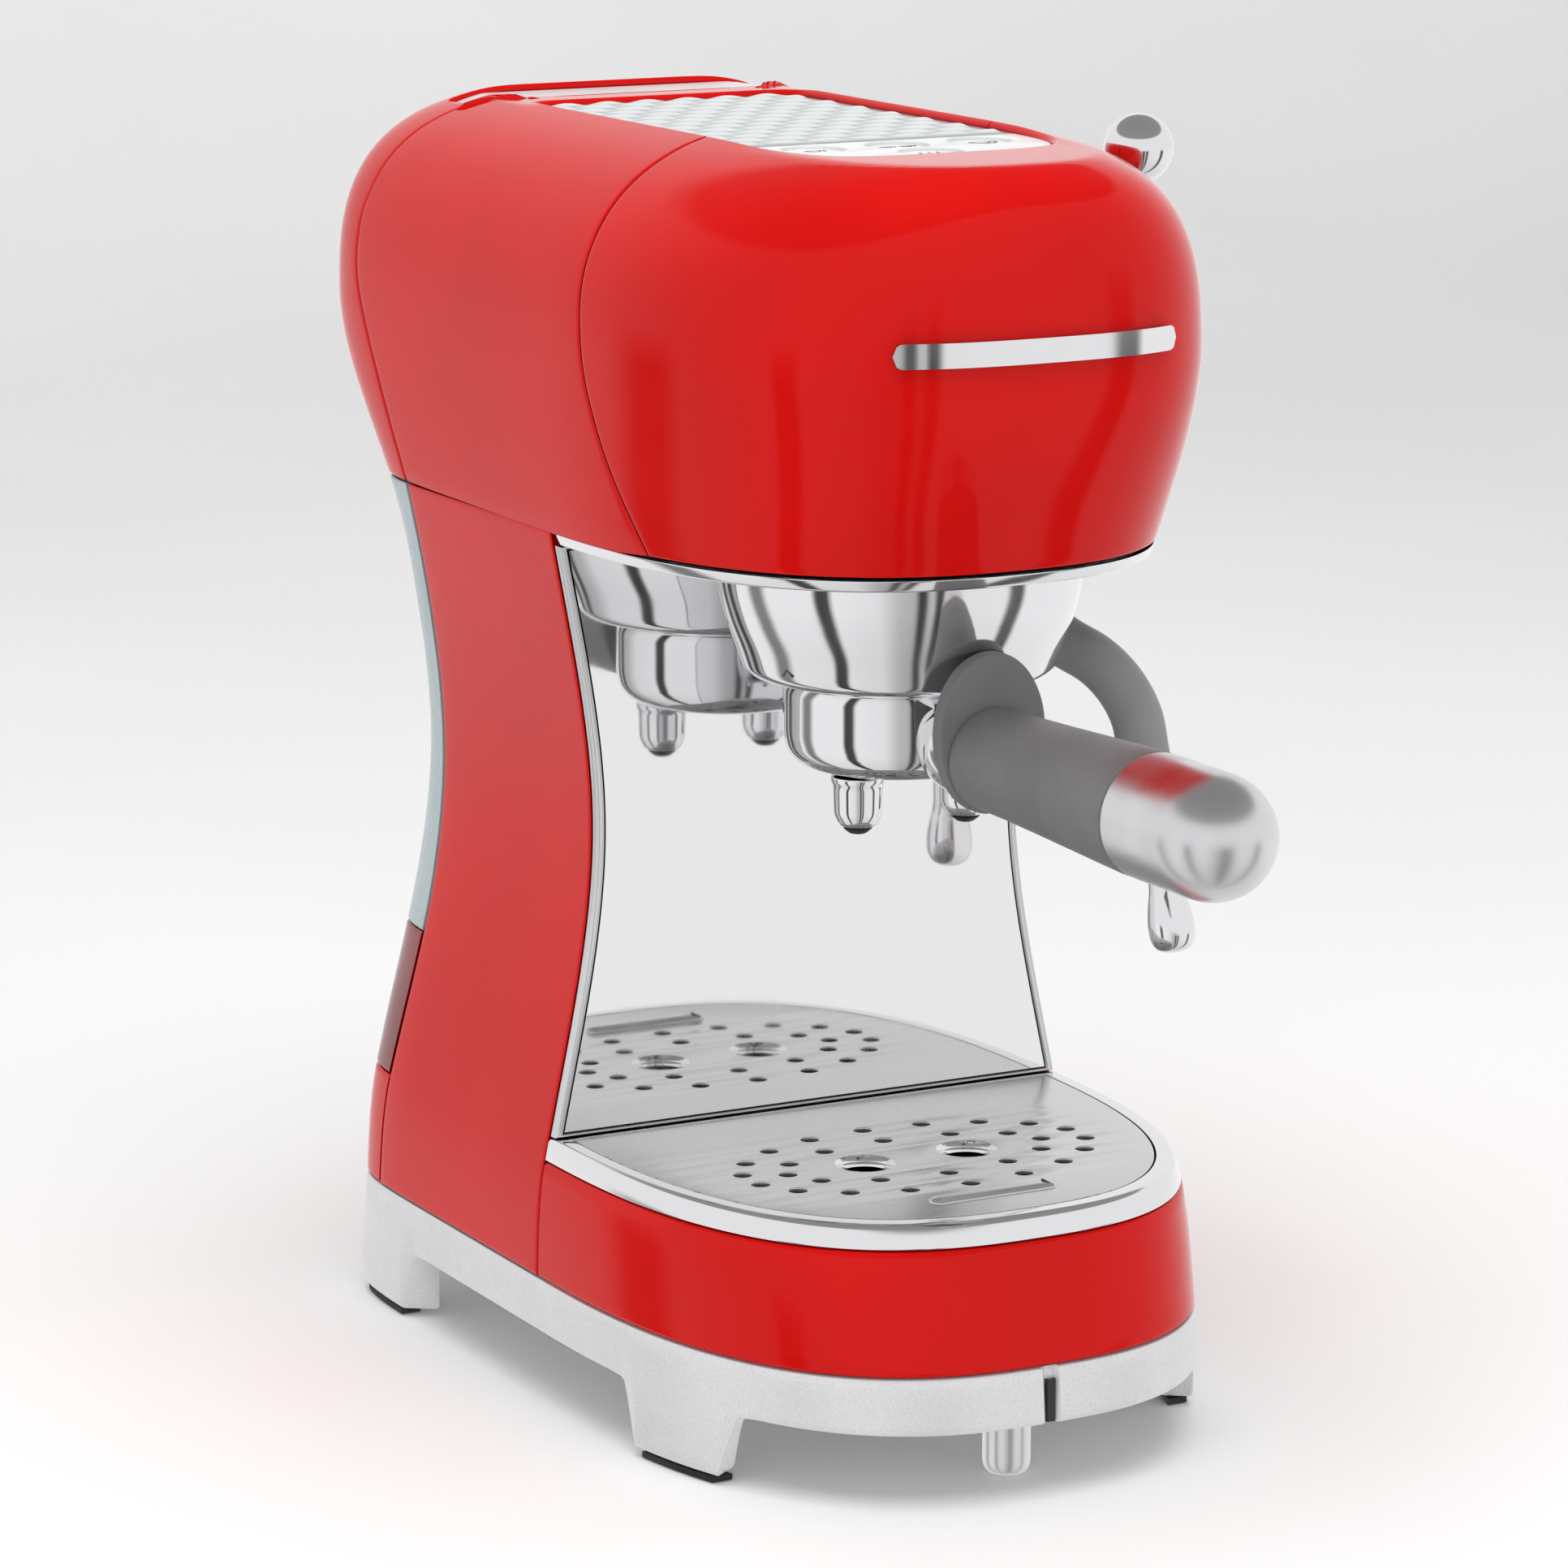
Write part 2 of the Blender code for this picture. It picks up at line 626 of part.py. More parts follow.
def tray():
    low, high = BASE_HIGH_Z + GAP, TRAY_HIGH_Z
    levels = (low, (low + high) / 2, high)
    shell = from_bmesh(loft([section(z, 0.0, None, TRAY_BACK_Y) for z in levels]), "tray_shell", "red_enamel",
                       body="tray")
    hollow = loft([section(z, SHELL_WALL, None, TRAY_BACK_Y - SHELL_WALL) for z in (low + SHELL_WALL,
                                                                                    high + 0.004)])
    boolean(shell, cutter(hollow, "tray_hollow"), "DIFFERENCE")
    rim_low = high + GAP
    rim = from_bmesh(loft([section(rim_low, 0.0, None, TRAY_BACK_Y),
                           section(RIM_HIGH_Z - 0.001, 0.0006, None, TRAY_BACK_Y),
                           section(RIM_HIGH_Z, 0.0016, None, TRAY_BACK_Y - 0.001)]), "tray_rim", "chrome",
                           body="tray")
    inner = loft([section(z, RIM_INSET, None, TRAY_BACK_Y - RIM_INSET) for z in (rim_low - 0.004,
                                                                                 RIM_HIGH_Z + 0.004)])
    boolean(rim, cutter(inner, "rim_hollow"), "DIFFERENCE")


GRILLE_LOW_Z = RIM_HIGH_Z - GRILLE_THICKNESS


def tray_tub():
    floor_z = BASE_HIGH_Z + GAP + SHELL_WALL + GAP
    top = GRILLE_LOW_Z - GAP
    inset = RIM_INSET + GAP
    back = TRAY_BACK_Y - inset
    tub = from_bmesh(loft([section(z, inset, None, back) for z in (floor_z, top)]), "tray_tub",
                     "black_plastic", body="tray")
    hollow = loft([section(z, inset + TUB_WALL, None, back - TUB_WALL) for z in (floor_z + TUB_WALL,
                                                                                 top + 0.004)])
    boolean(tub, cutter(hollow, "tub_hollow"), "DIFFERENCE")


def grille():
    inset = RIM_INSET + GAP
    outline = [(x, y) for x, y, _ in section(RIM_HIGH_Z, inset, None, TRAY_BACK_Y - inset)]
    holes = []
    for count, reach_x, reach_y in (OUTER_HOLES, INNER_HOLES):
        for i in range(count):
            turn = 2 * math.pi * i / count + math.pi / 2
            spot = (reach_x * math.cos(turn), GRILLE_CENTRE_Y + reach_y * math.sin(turn))
            holes.append(circle(spot, GRILLE_HOLE_RADIUS))
    for sign in (-1, 1):
        holes.append(circle((sign * CUP_HOLE_X, GRILLE_CENTRE_Y), CUP_HOLE_RADIUS, 16))
    length, width, y = FINGER_SLOT
    holes.append(circle((0.0, y), width / 2, 8, length / 2 - width / 2))
    plate("drip_grille", outline, holes, GRILLE_LOW_Z, GRILLE_THICKNESS, "brushed_steel", body="grille")


# ---------------------------------------------------------------- column
def thin_side(z, y0, y1, sign, wall=SHELL_WALL):
    outer = side_line(z, 0.0, y0, y1, 6)
    inner = side_line(z, wall, y0, y1, 6)
    return [(sign * x, y, z) for x, y in outer + inner[::-1]]


def side_panels():
    levels = [BASE_HIGH_Z + GAP, 0.048, TRAY_HIGH_Z] + COLUMN_LEVELS + [HEAD_LOW_Z - GAP]
    for name, sign in (("side_panel_left", -1), ("side_panel_right", 1)):
        rings = [thin_side(z, COLUMN_FRONT_Y, seam_y(z, REAR_SEAM) - SEAM_GAP, sign) for z in levels]
        from_bmesh(loft(rings), name, "red_enamel")


def mirrored_outline(inset, low, high):
    """Hourglass outline of the backsplash plane, as (x, z) points."""
    heights = [low] + COLUMN_LEVELS[1:] + [high]
    right = [(body_size(z, inset)[0], z) for z in heights]
    return right + [(-x, z) for x, z in reversed(right)]


def backsplash():
    low, high = MIRROR_LOW_Z - EDGE_BAR, TRIM_LOW_Z - GAP
    window_inset = SHELL_WALL + EDGE_WIDTH
    back = COLUMN_FRONT_Y - GAP
    rings = [[(x, y, z) for x, z in mirrored_outline(EDGE_INSET, low, high)] for y in (0.0, back)]
    frame = from_bmesh(loft(rings), "backsplash_frame", "chrome")
    window = [[(x, y, z) for x, z in mirrored_outline(window_inset, low + EDGE_BAR,
                                                      high - EDGE_BAR)] for y in (-0.01, 0.01)]
    boolean(frame, cutter(loft(window), "frame_window"), "DIFFERENCE")
    outline = mirrored_outline(window_inset + GAP, low + EDGE_BAR + GAP, high - EDGE_BAR - GAP)
    plate("backsplash", outline, [], GAP, MIRROR_THICKNESS, "mirror_steel", standing=True)


def rear_skirt():
    low, high = BASE_HIGH_Z + GAP, TRAY_HIGH_Z
    rings = [section(z, 0.0, seam_y(z, REAR_SEAM) + SEAM_GAP, None) for z in (low, high)]
    skirt = from_bmesh(loft(rings), "rear_skirt", "red_enamel")
    hollow = [section(z, SHELL_WALL, seam_y(z, REAR_SEAM) - 0.004, None) for z in (low - 0.004,
                                                                                   high - SHELL_WALL)]
    boolean(skirt, cutter(loft(hollow), "skirt_hollow"), "DIFFERENCE")
    gland = rod_mesh((INLET_X, 0.10, INLET_Z), (INLET_X, 0.14, INLET_Z), INLET_RADIUS + GAP)
    boolean(skirt, cutter(gland, "gland_hole"), "DIFFERENCE")
    back = body_size(INLET_Z, 0.0)[2]
    turned("mains_inlet", [(0.0, 0.003), (INLET_RADIUS + 0.002, 0.003), (INLET_RADIUS + 0.002, GAP),
                           (INLET_RADIUS, GAP),
                           (INLET_RADIUS, -0.012), (0.0, -0.012)],
           (INLET_X, back + GAP, INLET_Z), "black_plastic", axis=(0.0, 1.0, 0.0), steps=SMALL_STEPS)


# ---------------------------------------------------------------- water tank
def rear_ring(z, inset, front_gap):
    return section(z, inset, seam_y(z, REAR_SEAM) + front_gap, None, 10)


def tank():
    front = SEAM_GAP + 0.0004
    cup_low = TRAY_HIGH_Z + GAP
    wall = 0.0020
    cup_levels = (cup_low, 0.083, TANK_CUP_HIGH_Z)
    cup = from_bmesh(loft([rear_ring(z, 0.0, front) for z in cup_levels]), "tank_cup", "tank_red",
                     body="tank")
    hollow = [rear_ring(z, wall, front + wall) for z in (cup_low + wall, 0.083, TANK_CUP_HIGH_Z)]
    hollow.append([(x, y, z + 0.005) for x, y, z in hollow[-1]])
    boolean(cup, cutter(loft(hollow), "cup_hollow"), "DIFFERENCE")

    inset = wall + GAP
    top = TANK_TOP_Z
    levels = [(cup_low + inset, inset, inset), (0.083, inset, inset), (TANK_CUP_HIGH_Z + GAP, inset, inset)]
    levels += [(TANK_CUP_HIGH_Z + GAP + 0.0001, 0.0, 0.0)] + [(z, 0.0, 0.0) for z in COLUMN_LEVELS[2:]]
    levels += [(HEAD_LOW_Z - GAP, 0.0, 0.0), (HEAD_LOW_Z - GAP + 0.0001, inset + SHELL_WALL, inset)]
    levels += [(z, inset + SHELL_WALL, inset) for z in (0.245, 0.270, top)]
    rings = [rear_ring(z, side, front + ahead) for z, side, ahead in levels]
    vessel = from_bmesh(loft(rings), "water_tank", "tank_smoke", body="tank")
    thick = 0.0018
    inner = [rear_ring(z, side + thick, front + ahead + thick) for z, side, ahead in levels
             if ahead > 0 or z > TANK_CUP_HIGH_Z + 0.002]
    inner[0] = [(x, y, z + thick) for x, y, z in inner[0]]
    inner.append([(x, y, z + 0.004) for x, y, z in inner[-1]])
    boolean(vessel, cutter(loft(inner), "tank_hollow"), "DIFFERENCE")
    y = seam_y(SPIGOT_Z, REAR_SEAM)
    port = rod_mesh((0.0, y - 0.01, SPIGOT_Z), (0.0, y + 0.0045, SPIGOT_Z), SPIGOT_RADIUS + 0.0016)
    port_cutter = cutter(port, "port_hole")
    boolean(cup, port_cutter, "DIFFERENCE")
    boolean(vessel, port_cutter, "DIFFERENCE")


def rear_spine():
    rings = [rear_ring(z, 0.0, SEAM_GAP) for z in HEAD_LEVELS + crown_heights(0.0, 0.975)]
    return from_bmesh(loft(rings), "rear_spine", "red_enamel", body="tank")


def head_cavity():
    """Inside of the head shells: the body surface taken in by the wall, and kept under the shelf."""
    levels = [HEAD_LOW_Z - 0.004, 0.240, 0.256, WIDEST_Z] + crown_heights(SHELL_WALL, 0.99)
    cavity = cutter(loft([section(z, SHELL_WALL, None, None, 20) for z in levels]), "head_cavity")
    reach = LID_HALF_WIDTH + LID_GAP + SHELL_WALL
    kept = box_mesh((-reach, PANEL_BACK_Y, SHELF_Z - SHELL_WALL),
                    (reach, LID_Y[1] + LID_GAP + SHELL_WALL, CUT_TOP_Z))
    return boolean(cavity, cutter(kept, "shelf_thickness"), "DIFFERENCE")


# ---------------------------------------------------------------- head
def clipped_back(z, y):
    return min(y, 0.97 * body_size(z, 0.0)[2])


def panel_outline(inset):
    """Nearly rectangular plan with a gently curved front and small corner radii."""
    centre = -0.012
    width = PANEL_HALF_WIDTH - inset
    front = centre - PANEL_FRONT_Y - inset
    back = PANEL_BACK_Y - inset - centre
    points = []
    for i in range(32):
        turn = 2 * math.pi * i / 32
        n = PANEL_SQUARENESS if math.sin(turn) < 0 else 16.0
        x = width * math.copysign(abs(math.cos(turn)) ** (2 / n), math.cos(turn))
        y = (back if math.sin(turn) > 0 else front) * math.copysign(abs(math.sin(turn)) ** (2 / n),
                                                                    math.sin(turn))
        points.append((x, centre + y))
    return points


def head_shells():
    levels = HEAD_LEVELS + crown_heights()
    front = [section(z, 0.0, None, seam_y(z, FRONT_SEAM) - SEAM_GAP / 2, 14) for z in levels]
    middle = [section(z, 0.0, seam_y(z, FRONT_SEAM) + SEAM_GAP / 2,
                      clipped_back(z, seam_y(z, REAR_SEAM) - SEAM_GAP), 10) for z in levels]
    front_shell = from_bmesh(loft(front), "head_front_shell", "red_enamel")
    rear_shell = from_bmesh(loft(middle), "head_rear_shell", "red_enamel")
    spine = rear_spine()
    cavity = head_cavity()
    opening = cutter(loft([[(x, y, z) for x, y in panel_outline(0.0)] for z in (0.300, CUT_TOP_Z)]),
                     "panel_opening")
    for shell in (front_shell, rear_shell):
        boolean(shell, cavity, "DIFFERENCE")
        boolean(shell, opening, "DIFFERENCE")
    boolean(spine, cavity, "DIFFERENCE")
    reach = LID_HALF_WIDTH + LID_GAP
    shelf = cutter(box_mesh((-reach, PANEL_BACK_Y - 0.001, SHELF_Z), (reach, LID_Y[0], CUT_TOP_Z)),
                   "shelf_top")
    boolean(rear_shell, shelf, "DIFFERENCE")
    boolean(spine, shelf, "DIFFERENCE")
    hole = box_mesh((-reach, LID_Y[0] - LID_GAP, 0.300), (reach, LID_Y[1] + LID_GAP, CUT_TOP_Z))
    boolean(spine, cutter(hole, "lid_opening"), "DIFFERENCE")
    shaft = rod_mesh((0.060, LEVER_Y, LEVER_Z), (0.090, LEVER_Y, LEVER_Z), 0.0036)
    boolean(rear_shell, cutter(shaft, "lever_hole"), "DIFFERENCE")


def tank_lid():
    box("tank_lid", (-LID_HALF_WIDTH, LID_Y[0], LID_TOP_Z - LID_THICKNESS),
        (LID_HALF_WIDTH, LID_Y[1], LID_TOP_Z),
        "panel_silver", body="lid", bevel=0.0004)


def badge_ring(depth):
    count = 9
    xs = np.linspace(-BADGE_HALF_WIDTH, BADGE_HALF_WIDTH, count)
    width, front, _, square = body_size(BADGE_Z, 0.0)
    return [(float(x), -float((front - depth) * (1 - (abs(x) / width) ** square) ** (1 / square)),
             BADGE_Z) for x in xs]


def badge():
    """A plain chrome bar that follows the curved front."""
    outer, inner = badge_ring(-0.0022), badge_ring(-0.0004)
    rings = []
    for (x, y_out, z), (_, y_in, _) in zip(outer, inner):
        half = BADGE_HEIGHT / 2
        rings.append([(x, y_out, z - half), (x, y_out, z + half), (x, y_in, z + half), (x, y_in, z - half)])
    from_bmesh(loft(rings), "head_badge", "chrome")


def head_trim():
    """Chrome ring under the head, from the top corners of the backsplash round the front."""
    high = HEAD_LOW_Z - GAP
    back = -GAP
    ring = from_bmesh(loft([section(z, inset, None, back, 16) for z,
                            inset in ((TRIM_LOW_Z, 0.0006), (high, 0.0))]),
                      "head_trim", "chrome")
    inner = loft([section(z, TRIM_WALL, None, back - TRIM_WALL, 16) for z in (TRIM_LOW_Z - 0.004,
                                                                              high + 0.004)])
    boolean(ring, cutter(inner, "trim_hollow"), "DIFFERENCE")
    inset = TRIM_WALL + GAP
    low = TRIM_LOW_Z + GAP
    cover = from_bmesh(loft([section(TRIM_LOW_Z, inset, None, back - inset, 16),
                             [(x, y, low + PLATE_WALL) for x, y, _ in section(TRIM_LOW_Z, inset, None,
                                                                              back - inset, 16)]]),
                       "underside_cover", "brushed_steel")
    for name, (x, y), radius in (("group", (0.0, GROUP_Y), GROUP_TOP_RADIUS - 0.0040),
                                 ("wand", WAND_PIVOT[:2], WAND_BALL_RADIUS + GAP)):
        hole = rod_mesh((x, y, low - 0.01), (x, y, low + 0.01), radius, steps=ROUND_STEPS)
        boolean(cover, cutter(hole, f"{name}_hole"), "DIFFERENCE")


def top_panel():
    low = PANEL_TOP_Z - PANEL_THICKNESS
    holes = [circle(spot, BUTTON_RADIUS + GAP, 20) for spot in BUTTONS.values()]
    plate("top_panel", panel_outline(GAP), holes, low, PANEL_THICKNESS, "panel_silver")
    stem, stem_low = BUTTON_STEM
    for name, (x, y) in BUTTONS.items():
        r = BUTTON_RADIUS
        top = -BUTTON_SUNK
        turned(name, [(0.0, top), (r - 0.0004, top), (r, top - 0.0004), (r, -0.0030), (stem, -0.0030),
                      (stem, -stem_low), (0.0, -stem_low)],
               (x, y, PANEL_TOP_Z), "panel_silver", body=name, steps=20)
    board_top = PANEL_TOP_Z - stem_low - BUTTON_TRAVEL - GAP
    box("control_board", (-0.034, STEAM_BUTTON_Y - 0.008, board_top - 0.0016),
        (0.034, BUTTON_ROW_Y + 0.012, board_top),
        "board_green")


# ---------------------------------------------------------------- brew group
def group():
    top = TRIM_LOW_Z - GAP
    wall = GROUP_WALL
    outer = [(GROUP_TOP_RADIUS, top)] + [(GROUP_TOP_RADIUS - inset, z) for inset, z in BOWL_STEPS]
    outer += [(GROUP_LOW_RADIUS + 0.0016, GROUP_LOW_Z + 0.0060),
              (GROUP_LOW_RADIUS - 0.0006, GROUP_LOW_Z + 0.0012),
              (GROUP_LOW_RADIUS - 0.0020, GROUP_LOW_Z)]
    inner = [(r - wall, z) for r, z in reversed(outer[:-2])]
    mouth = CUP_RADIUS + CUP_CLEARANCE
    profile = outer + [(mouth, GROUP_LOW_Z), (mouth, GROUP_LOW_Z + wall),
                       (GROUP_LOW_RADIUS - 0.0032, GROUP_LOW_Z + wall)] + inner
    turned("group_cover", profile, (0.0, GROUP_Y, 0.0), "chrome", steps=36)

    lip_low = GROUP_LOW_Z + wall + GAP
    bore = LUG_REACH + 0.0006
    rim, stem, head_top = GROUP_HEAD_RADIUS, BOILER_STEM_RADIUS, GROUP_HEAD_TOP_Z
    shoulder = TRIM_LOW_Z - 0.0045
    disc_low = CUP_RIM_Z + 0.0050
    ledge_bore = CUP_RADIUS + CUP_CLEARANCE + GAP
    ledge_top = lip_low + BAYONET_LEDGE
    turned("group_head", [(0.0, head_top), (stem, head_top), (stem, shoulder), (rim, shoulder),
                          (rim, lip_low),
                          (ledge_bore, lip_low), (ledge_bore, ledge_top), (bore, ledge_top), (bore, disc_low),
                          (0.0, disc_low)],
           (0.0, GROUP_Y, 0.0), "zinc_steel")
    turned("group_gasket", [(0.0300, disc_low - GAP), (0.0300, CUP_RIM_Z + 0.0016),
                            (0.0262, CUP_RIM_Z + 0.0016),
                            (0.0262, disc_low - GAP)], (0.0, GROUP_Y, 0.0), "silicone")
    screen_low = CUP_RIM_Z + 0.0020
    turned("shower_screen", [(0.0250, screen_low + 0.0012), (0.0250, screen_low), (0.0030, screen_low),
                             (0.0030, screen_low + 0.0012)], (0.0, GROUP_Y, 0.0), "brushed_steel")
    turned("screen_screw", [(0.0, disc_low - GAP), (0.0024, disc_low - GAP), (0.0024, screen_low - GAP),
                            (0.0048, screen_low - GAP), (0.0040, screen_low - 0.0014),
                            (0.0, screen_low - 0.0014)],
           (0.0, GROUP_Y, 0.0), "zinc_steel", steps=SMALL_STEPS)


def portafilter():
    r, low, rim, wall = CUP_RADIUS, CUP_LOW_Z, CUP_RIM_Z, CUP_WALL
    lug_z = (GROUP_LOW_Z + GROUP_WALL + GAP + BAYONET_LEDGE + GAP, rim - 0.0008)
    outer = [(r + 0.0004, rim), (r + 0.0004, lug_z[0] - 0.004), (r, lug_z[0] - 0.0046), (r, low + 0.0070),
             (r - 0.0012, low + 0.0030), (r - 0.0042, low + 0.0006), (r - 0.0078, low)]
    inner = [(0.0, low), (0.0, low + wall), (r - 0.0080, low + wall), (r - wall - 0.0010, low + 0.0060),
             (r - wall, low + 0.0090), (r - wall, rim)]
    body = turned("portafilter_body", outer + inner, (0.0, GROUP_Y, 0.0), "chrome", body="portafilter",
                  steps=28)
    for i, turn in enumerate((0.5, 1.5)):
        direction = Vector((math.cos(turn * math.pi - math.pi / 4), math.sin(turn * math.pi - math.pi / 4),
                            0.0))
        side = Vector((-direction.y, direction.x, 0.0)) * 0.009
        centre = Vector((0.0, GROUP_Y, 0.0))
        base = [centre + direction * (r - 0.0012) + side, centre + direction * (r - 0.0012) - side,
                centre + direction * LUG_REACH * 0.965 - side, centre + direction * LUG_REACH * 0.965 + side]
        lug = loft([[(p.x, p.y, z) for p in base] for z in lug_z])
        boolean(body, cutter(lug, f"lug_{i}"), "UNION")
    neck = rod_mesh((0.0, GROUP_Y - r + 0.0016, HANDLE_Z), (0.0, COLLAR_Y[1] + GAP, HANDLE_Z), NECK_RADIUS,
                    steps=24)
    boolean(body, cutter(neck, "neck"), "UNION")
    bush = rod_mesh((0.0, COLLAR_Y[1] - 0.001, HANDLE_Z), (0.0, COLLAR_Y[1] + 0.008, HANDLE_Z),
                    ROD_RADIUS + GAP)
    boolean(body, cutter(bush, "rod_bore"), "DIFFERENCE")

    basket_rim = rim + GAP
    br = r - wall - 0.0009
    turned("filter_basket", [(br + 0.0028, basket_rim + 0.0008), (br + 0.0028, basket_rim), (br, basket_rim),
                             (br, low + 0.0110), (br - 0.0020, low + 0.0085), (br - 0.0050, low + 0.0080),
                             (0.0, low + 0.0080), (0.0, low + 0.0080 + BASKET_WALL),
                             (br - 0.0050, low + 0.0080 + BASKET_WALL), (br - BASKET_WALL, low + 0.0112),
                             (br - BASKET_WALL, basket_rim + 0.0008)],
           (0.0, GROUP_Y, 0.0), "brushed_steel", body="portafilter")
    for name, sign in (("left", -1), ("right", 1)):
        s = SPOUT_RADIUS
        top = low - GAP
        turned(f"spout_{name}", [(0.0, top), (s, top), (s, top - 0.0072), (s - 0.0008, SPOUT_LOW_Z + 0.0030),
                                 (s - 0.0022, SPOUT_LOW_Z), (0.0, SPOUT_LOW_Z)],
               (sign * SPOUT_X, SPOUT_Y, 0.0), "chrome", body="portafilter", steps=20)
        turned(f"spout_nozzle_{name}", [(0.0, SPOUT_LOW_Z - GAP), (s - 0.0024, SPOUT_LOW_Z - GAP),
                                        (s - 0.0044, NOZZLE_LOW_Z), (0.0, NOZZLE_LOW_Z)],
               (sign * SPOUT_X, SPOUT_Y, 0.0), "black_plastic", body="portafilter", steps=SMALL_STEPS)


def handle():
    """Collar, grip, end cap and the rod that clamps them to the neck."""
    half_x, half_z = COLLAR_HALF
    rings = []
    for y in COLLAR_Y:
        rings.append([(half_x * math.cos(a), y, COLLAR_CENTRE_Z + half_z * math.sin(a))
                      for a in [2 * math.pi * i / 32 for i in range(32)]])
    collar = from_bmesh(loft(rings), "handle_collar", "grip_grey", body="portafilter")
    bore = cutter(rod_mesh((0.0, GRIP_Y[0] - 0.006, HANDLE_Z), (0.0, COLLAR_Y[1] + 0.002, HANDLE_Z),
                           ROD_RADIUS + GAP), "grip_bore")
    boolean(collar, bore, "DIFFERENCE")
    grip = from_bmesh(rod_mesh((0.0, GRIP_Y[1], HANDLE_Z), (0.0, GRIP_Y[0], HANDLE_Z), GRIP_RADII[1],
                               GRIP_RADII[0], 32),
                      "handle_grip", "grip_grey", body="portafilter")
    boolean(grip, bore, "DIFFERENCE")
    start = GRIP_Y[0] - GAP
    length = start - CAP_TIP_Y
    radius = GRIP_RADII[0]
    dome = radius * 1.05
    profile = [(0.0, length)]
    for i in range(1, 8):
        turn = math.pi / 2 * i / 7
        profile.append((radius * math.sin(turn), length - dome + dome * math.cos(turn)))
    profile += [(radius, 0.0), (0.0, 0.0)]
    cap = turned("handle_cap", profile, (0.0, start, HANDLE_Z), "brushed_steel", body="portafilter",
                 axis="-Y")
    stud = rod_mesh((0.0, start - 0.004, HANDLE_Z), (0.0, COLLAR_Y[1] + 0.008 - GAP, HANDLE_Z), ROD_RADIUS)
    boolean(cap, cutter(stud, "cap_stud"), "UNION")


# ---------------------------------------------------------------- steam lever and wand
def steam_lever():
    wall = body_size(LEVER_Z, 0.0)[0]
    inner_x = wall - SHELL_WALL - 0.010
    hub_x = wall + 0.0012
    hub_high = 0.0062
    turned("lever_hub", [(0.0, hub_high), (LEVER_HUB_RADIUS - 0.002, hub_high),
                         (LEVER_HUB_RADIUS, hub_high - 0.002),
                         (LEVER_HUB_RADIUS, 0.0), (0.0030, 0.0), (0.0030, inner_x - hub_x),
                         (0.0, inner_x - hub_x)],
           (hub_x, LEVER_Y, LEVER_Z), "chrome", body="lever", axis=(1.0, 0.0, 0.0), steps=24)
    ball = Vector(LEVER_BALL)
    root = Vector((hub_x + hub_high / 2, LEVER_Y, LEVER_Z))
    direction = (ball - root).normalized()
    start = root + direction * (LEVER_HUB_RADIUS + 0.0010)
    end = ball - direction * LEVER_BALL_RADIUS / 2
    arm = from_bmesh(rod_mesh(start, end, 0.0026), "lever_arm", "chrome", body="lever")
    bm = bmesh.new()
    bmesh.ops.create_uvsphere(bm, u_segments=16, v_segments=10, radius=LEVER_BALL_RADIUS)
    boolean(arm, cutter(bm, "lever_ball", LEVER_BALL), "UNION")
    turned("steam_valve", [(0.0, 0.012), (0.0075, 0.012), (0.0075, -0.012), (0.0, -0.012)],
           (inner_x - 0.0130, LEVER_Y, LEVER_Z), "brass", axis=(1.0, 0.0, 0.0), steps=SMALL_STEPS)


def steam_wand():
    x, y, z = WAND_PIVOT
    r = WAND_BALL_RADIUS
    turned("wand_ball", [(0.0, WAND_TOP_Z), (r - 0.0012, WAND_TOP_Z), (r - 0.0012, 0.2210),
                         (r - 0.0004, 0.2175), (r, 0.2140),
                         (r - 0.0006, 0.2110), (0.0, 0.2110)], (x, y, 0.0), "chrome", body="wand", steps=20)
    line = smooth_line(WAND_ROUTE, 2)
    tube("wand_sleeve", line, SLEEVE_RADIUS, "grip_grey", body="wand", resolution=3)
    end, low = Vector(WAND_ROUTE[-1]), Vector(TIP_LOW)
    direction = (low - end).normalized()
    length = (low - end).length
    n, t = TIP_NECK_RADIUS, TIP_RADIUS
    turned("wand_tip", [(0.0, length), (t * 0.45, length), (t * 0.85, length - 0.0016), (t, length - 0.0046),
                        (t * 0.97, length - 0.0090), (n, length - 0.0150), (n, GAP * 2), (0.0, GAP * 2)],
           WAND_ROUTE[-1], "chrome", body="wand", axis=tuple(direction), steps=20)


# ---------------------------------------------------------------- chassis and machinery
def chassis():
    low = BASE_HIGH_Z + GAP
    outline = [(x, y) for x, y, _ in section(low, SHELL_WALL + GAP, 0.006, seam_y(low, REAR_SEAM) - 0.004)]
    plate("chassis_floor", outline, [], low, PLATE_WALL, "zinc_steel")
    floor_top = low + PLATE_WALL
    w, t = CHASSIS_HALF_WIDTH, CHASSIS_WALL
    front, back = MIRROR_THICKNESS + 2 * GAP + 0.0022, CHASSIS_BACK_Y
    channel = [(-w, front), (w, front), (w, back), (w - t, back), (w - t, front + t), (-w + t, front + t),
               (-w + t, back), (-w, back)]
    plate("chassis_column", channel, [], floor_top + GAP, HEAD_LOW_Z - GAP - floor_top, "zinc_steel")
    deck_low = HEAD_LOW_Z + GAP
    inset = SHELL_WALL + GAP + 0.002
    outline = [(x, y) for x, y, _ in section(deck_low, inset, None, seam_y(deck_low, REAR_SEAM) - 0.004, 16)]
    holes = [circle((0.0, GROUP_Y), BOILER_STEM_RADIUS + GAP, 32),
             circle(WAND_PIVOT[:2], WAND_BALL_RADIUS + 0.0030, 16)]
    plate("chassis_deck", outline, holes, deck_low, PLATE_WALL, "zinc_steel")


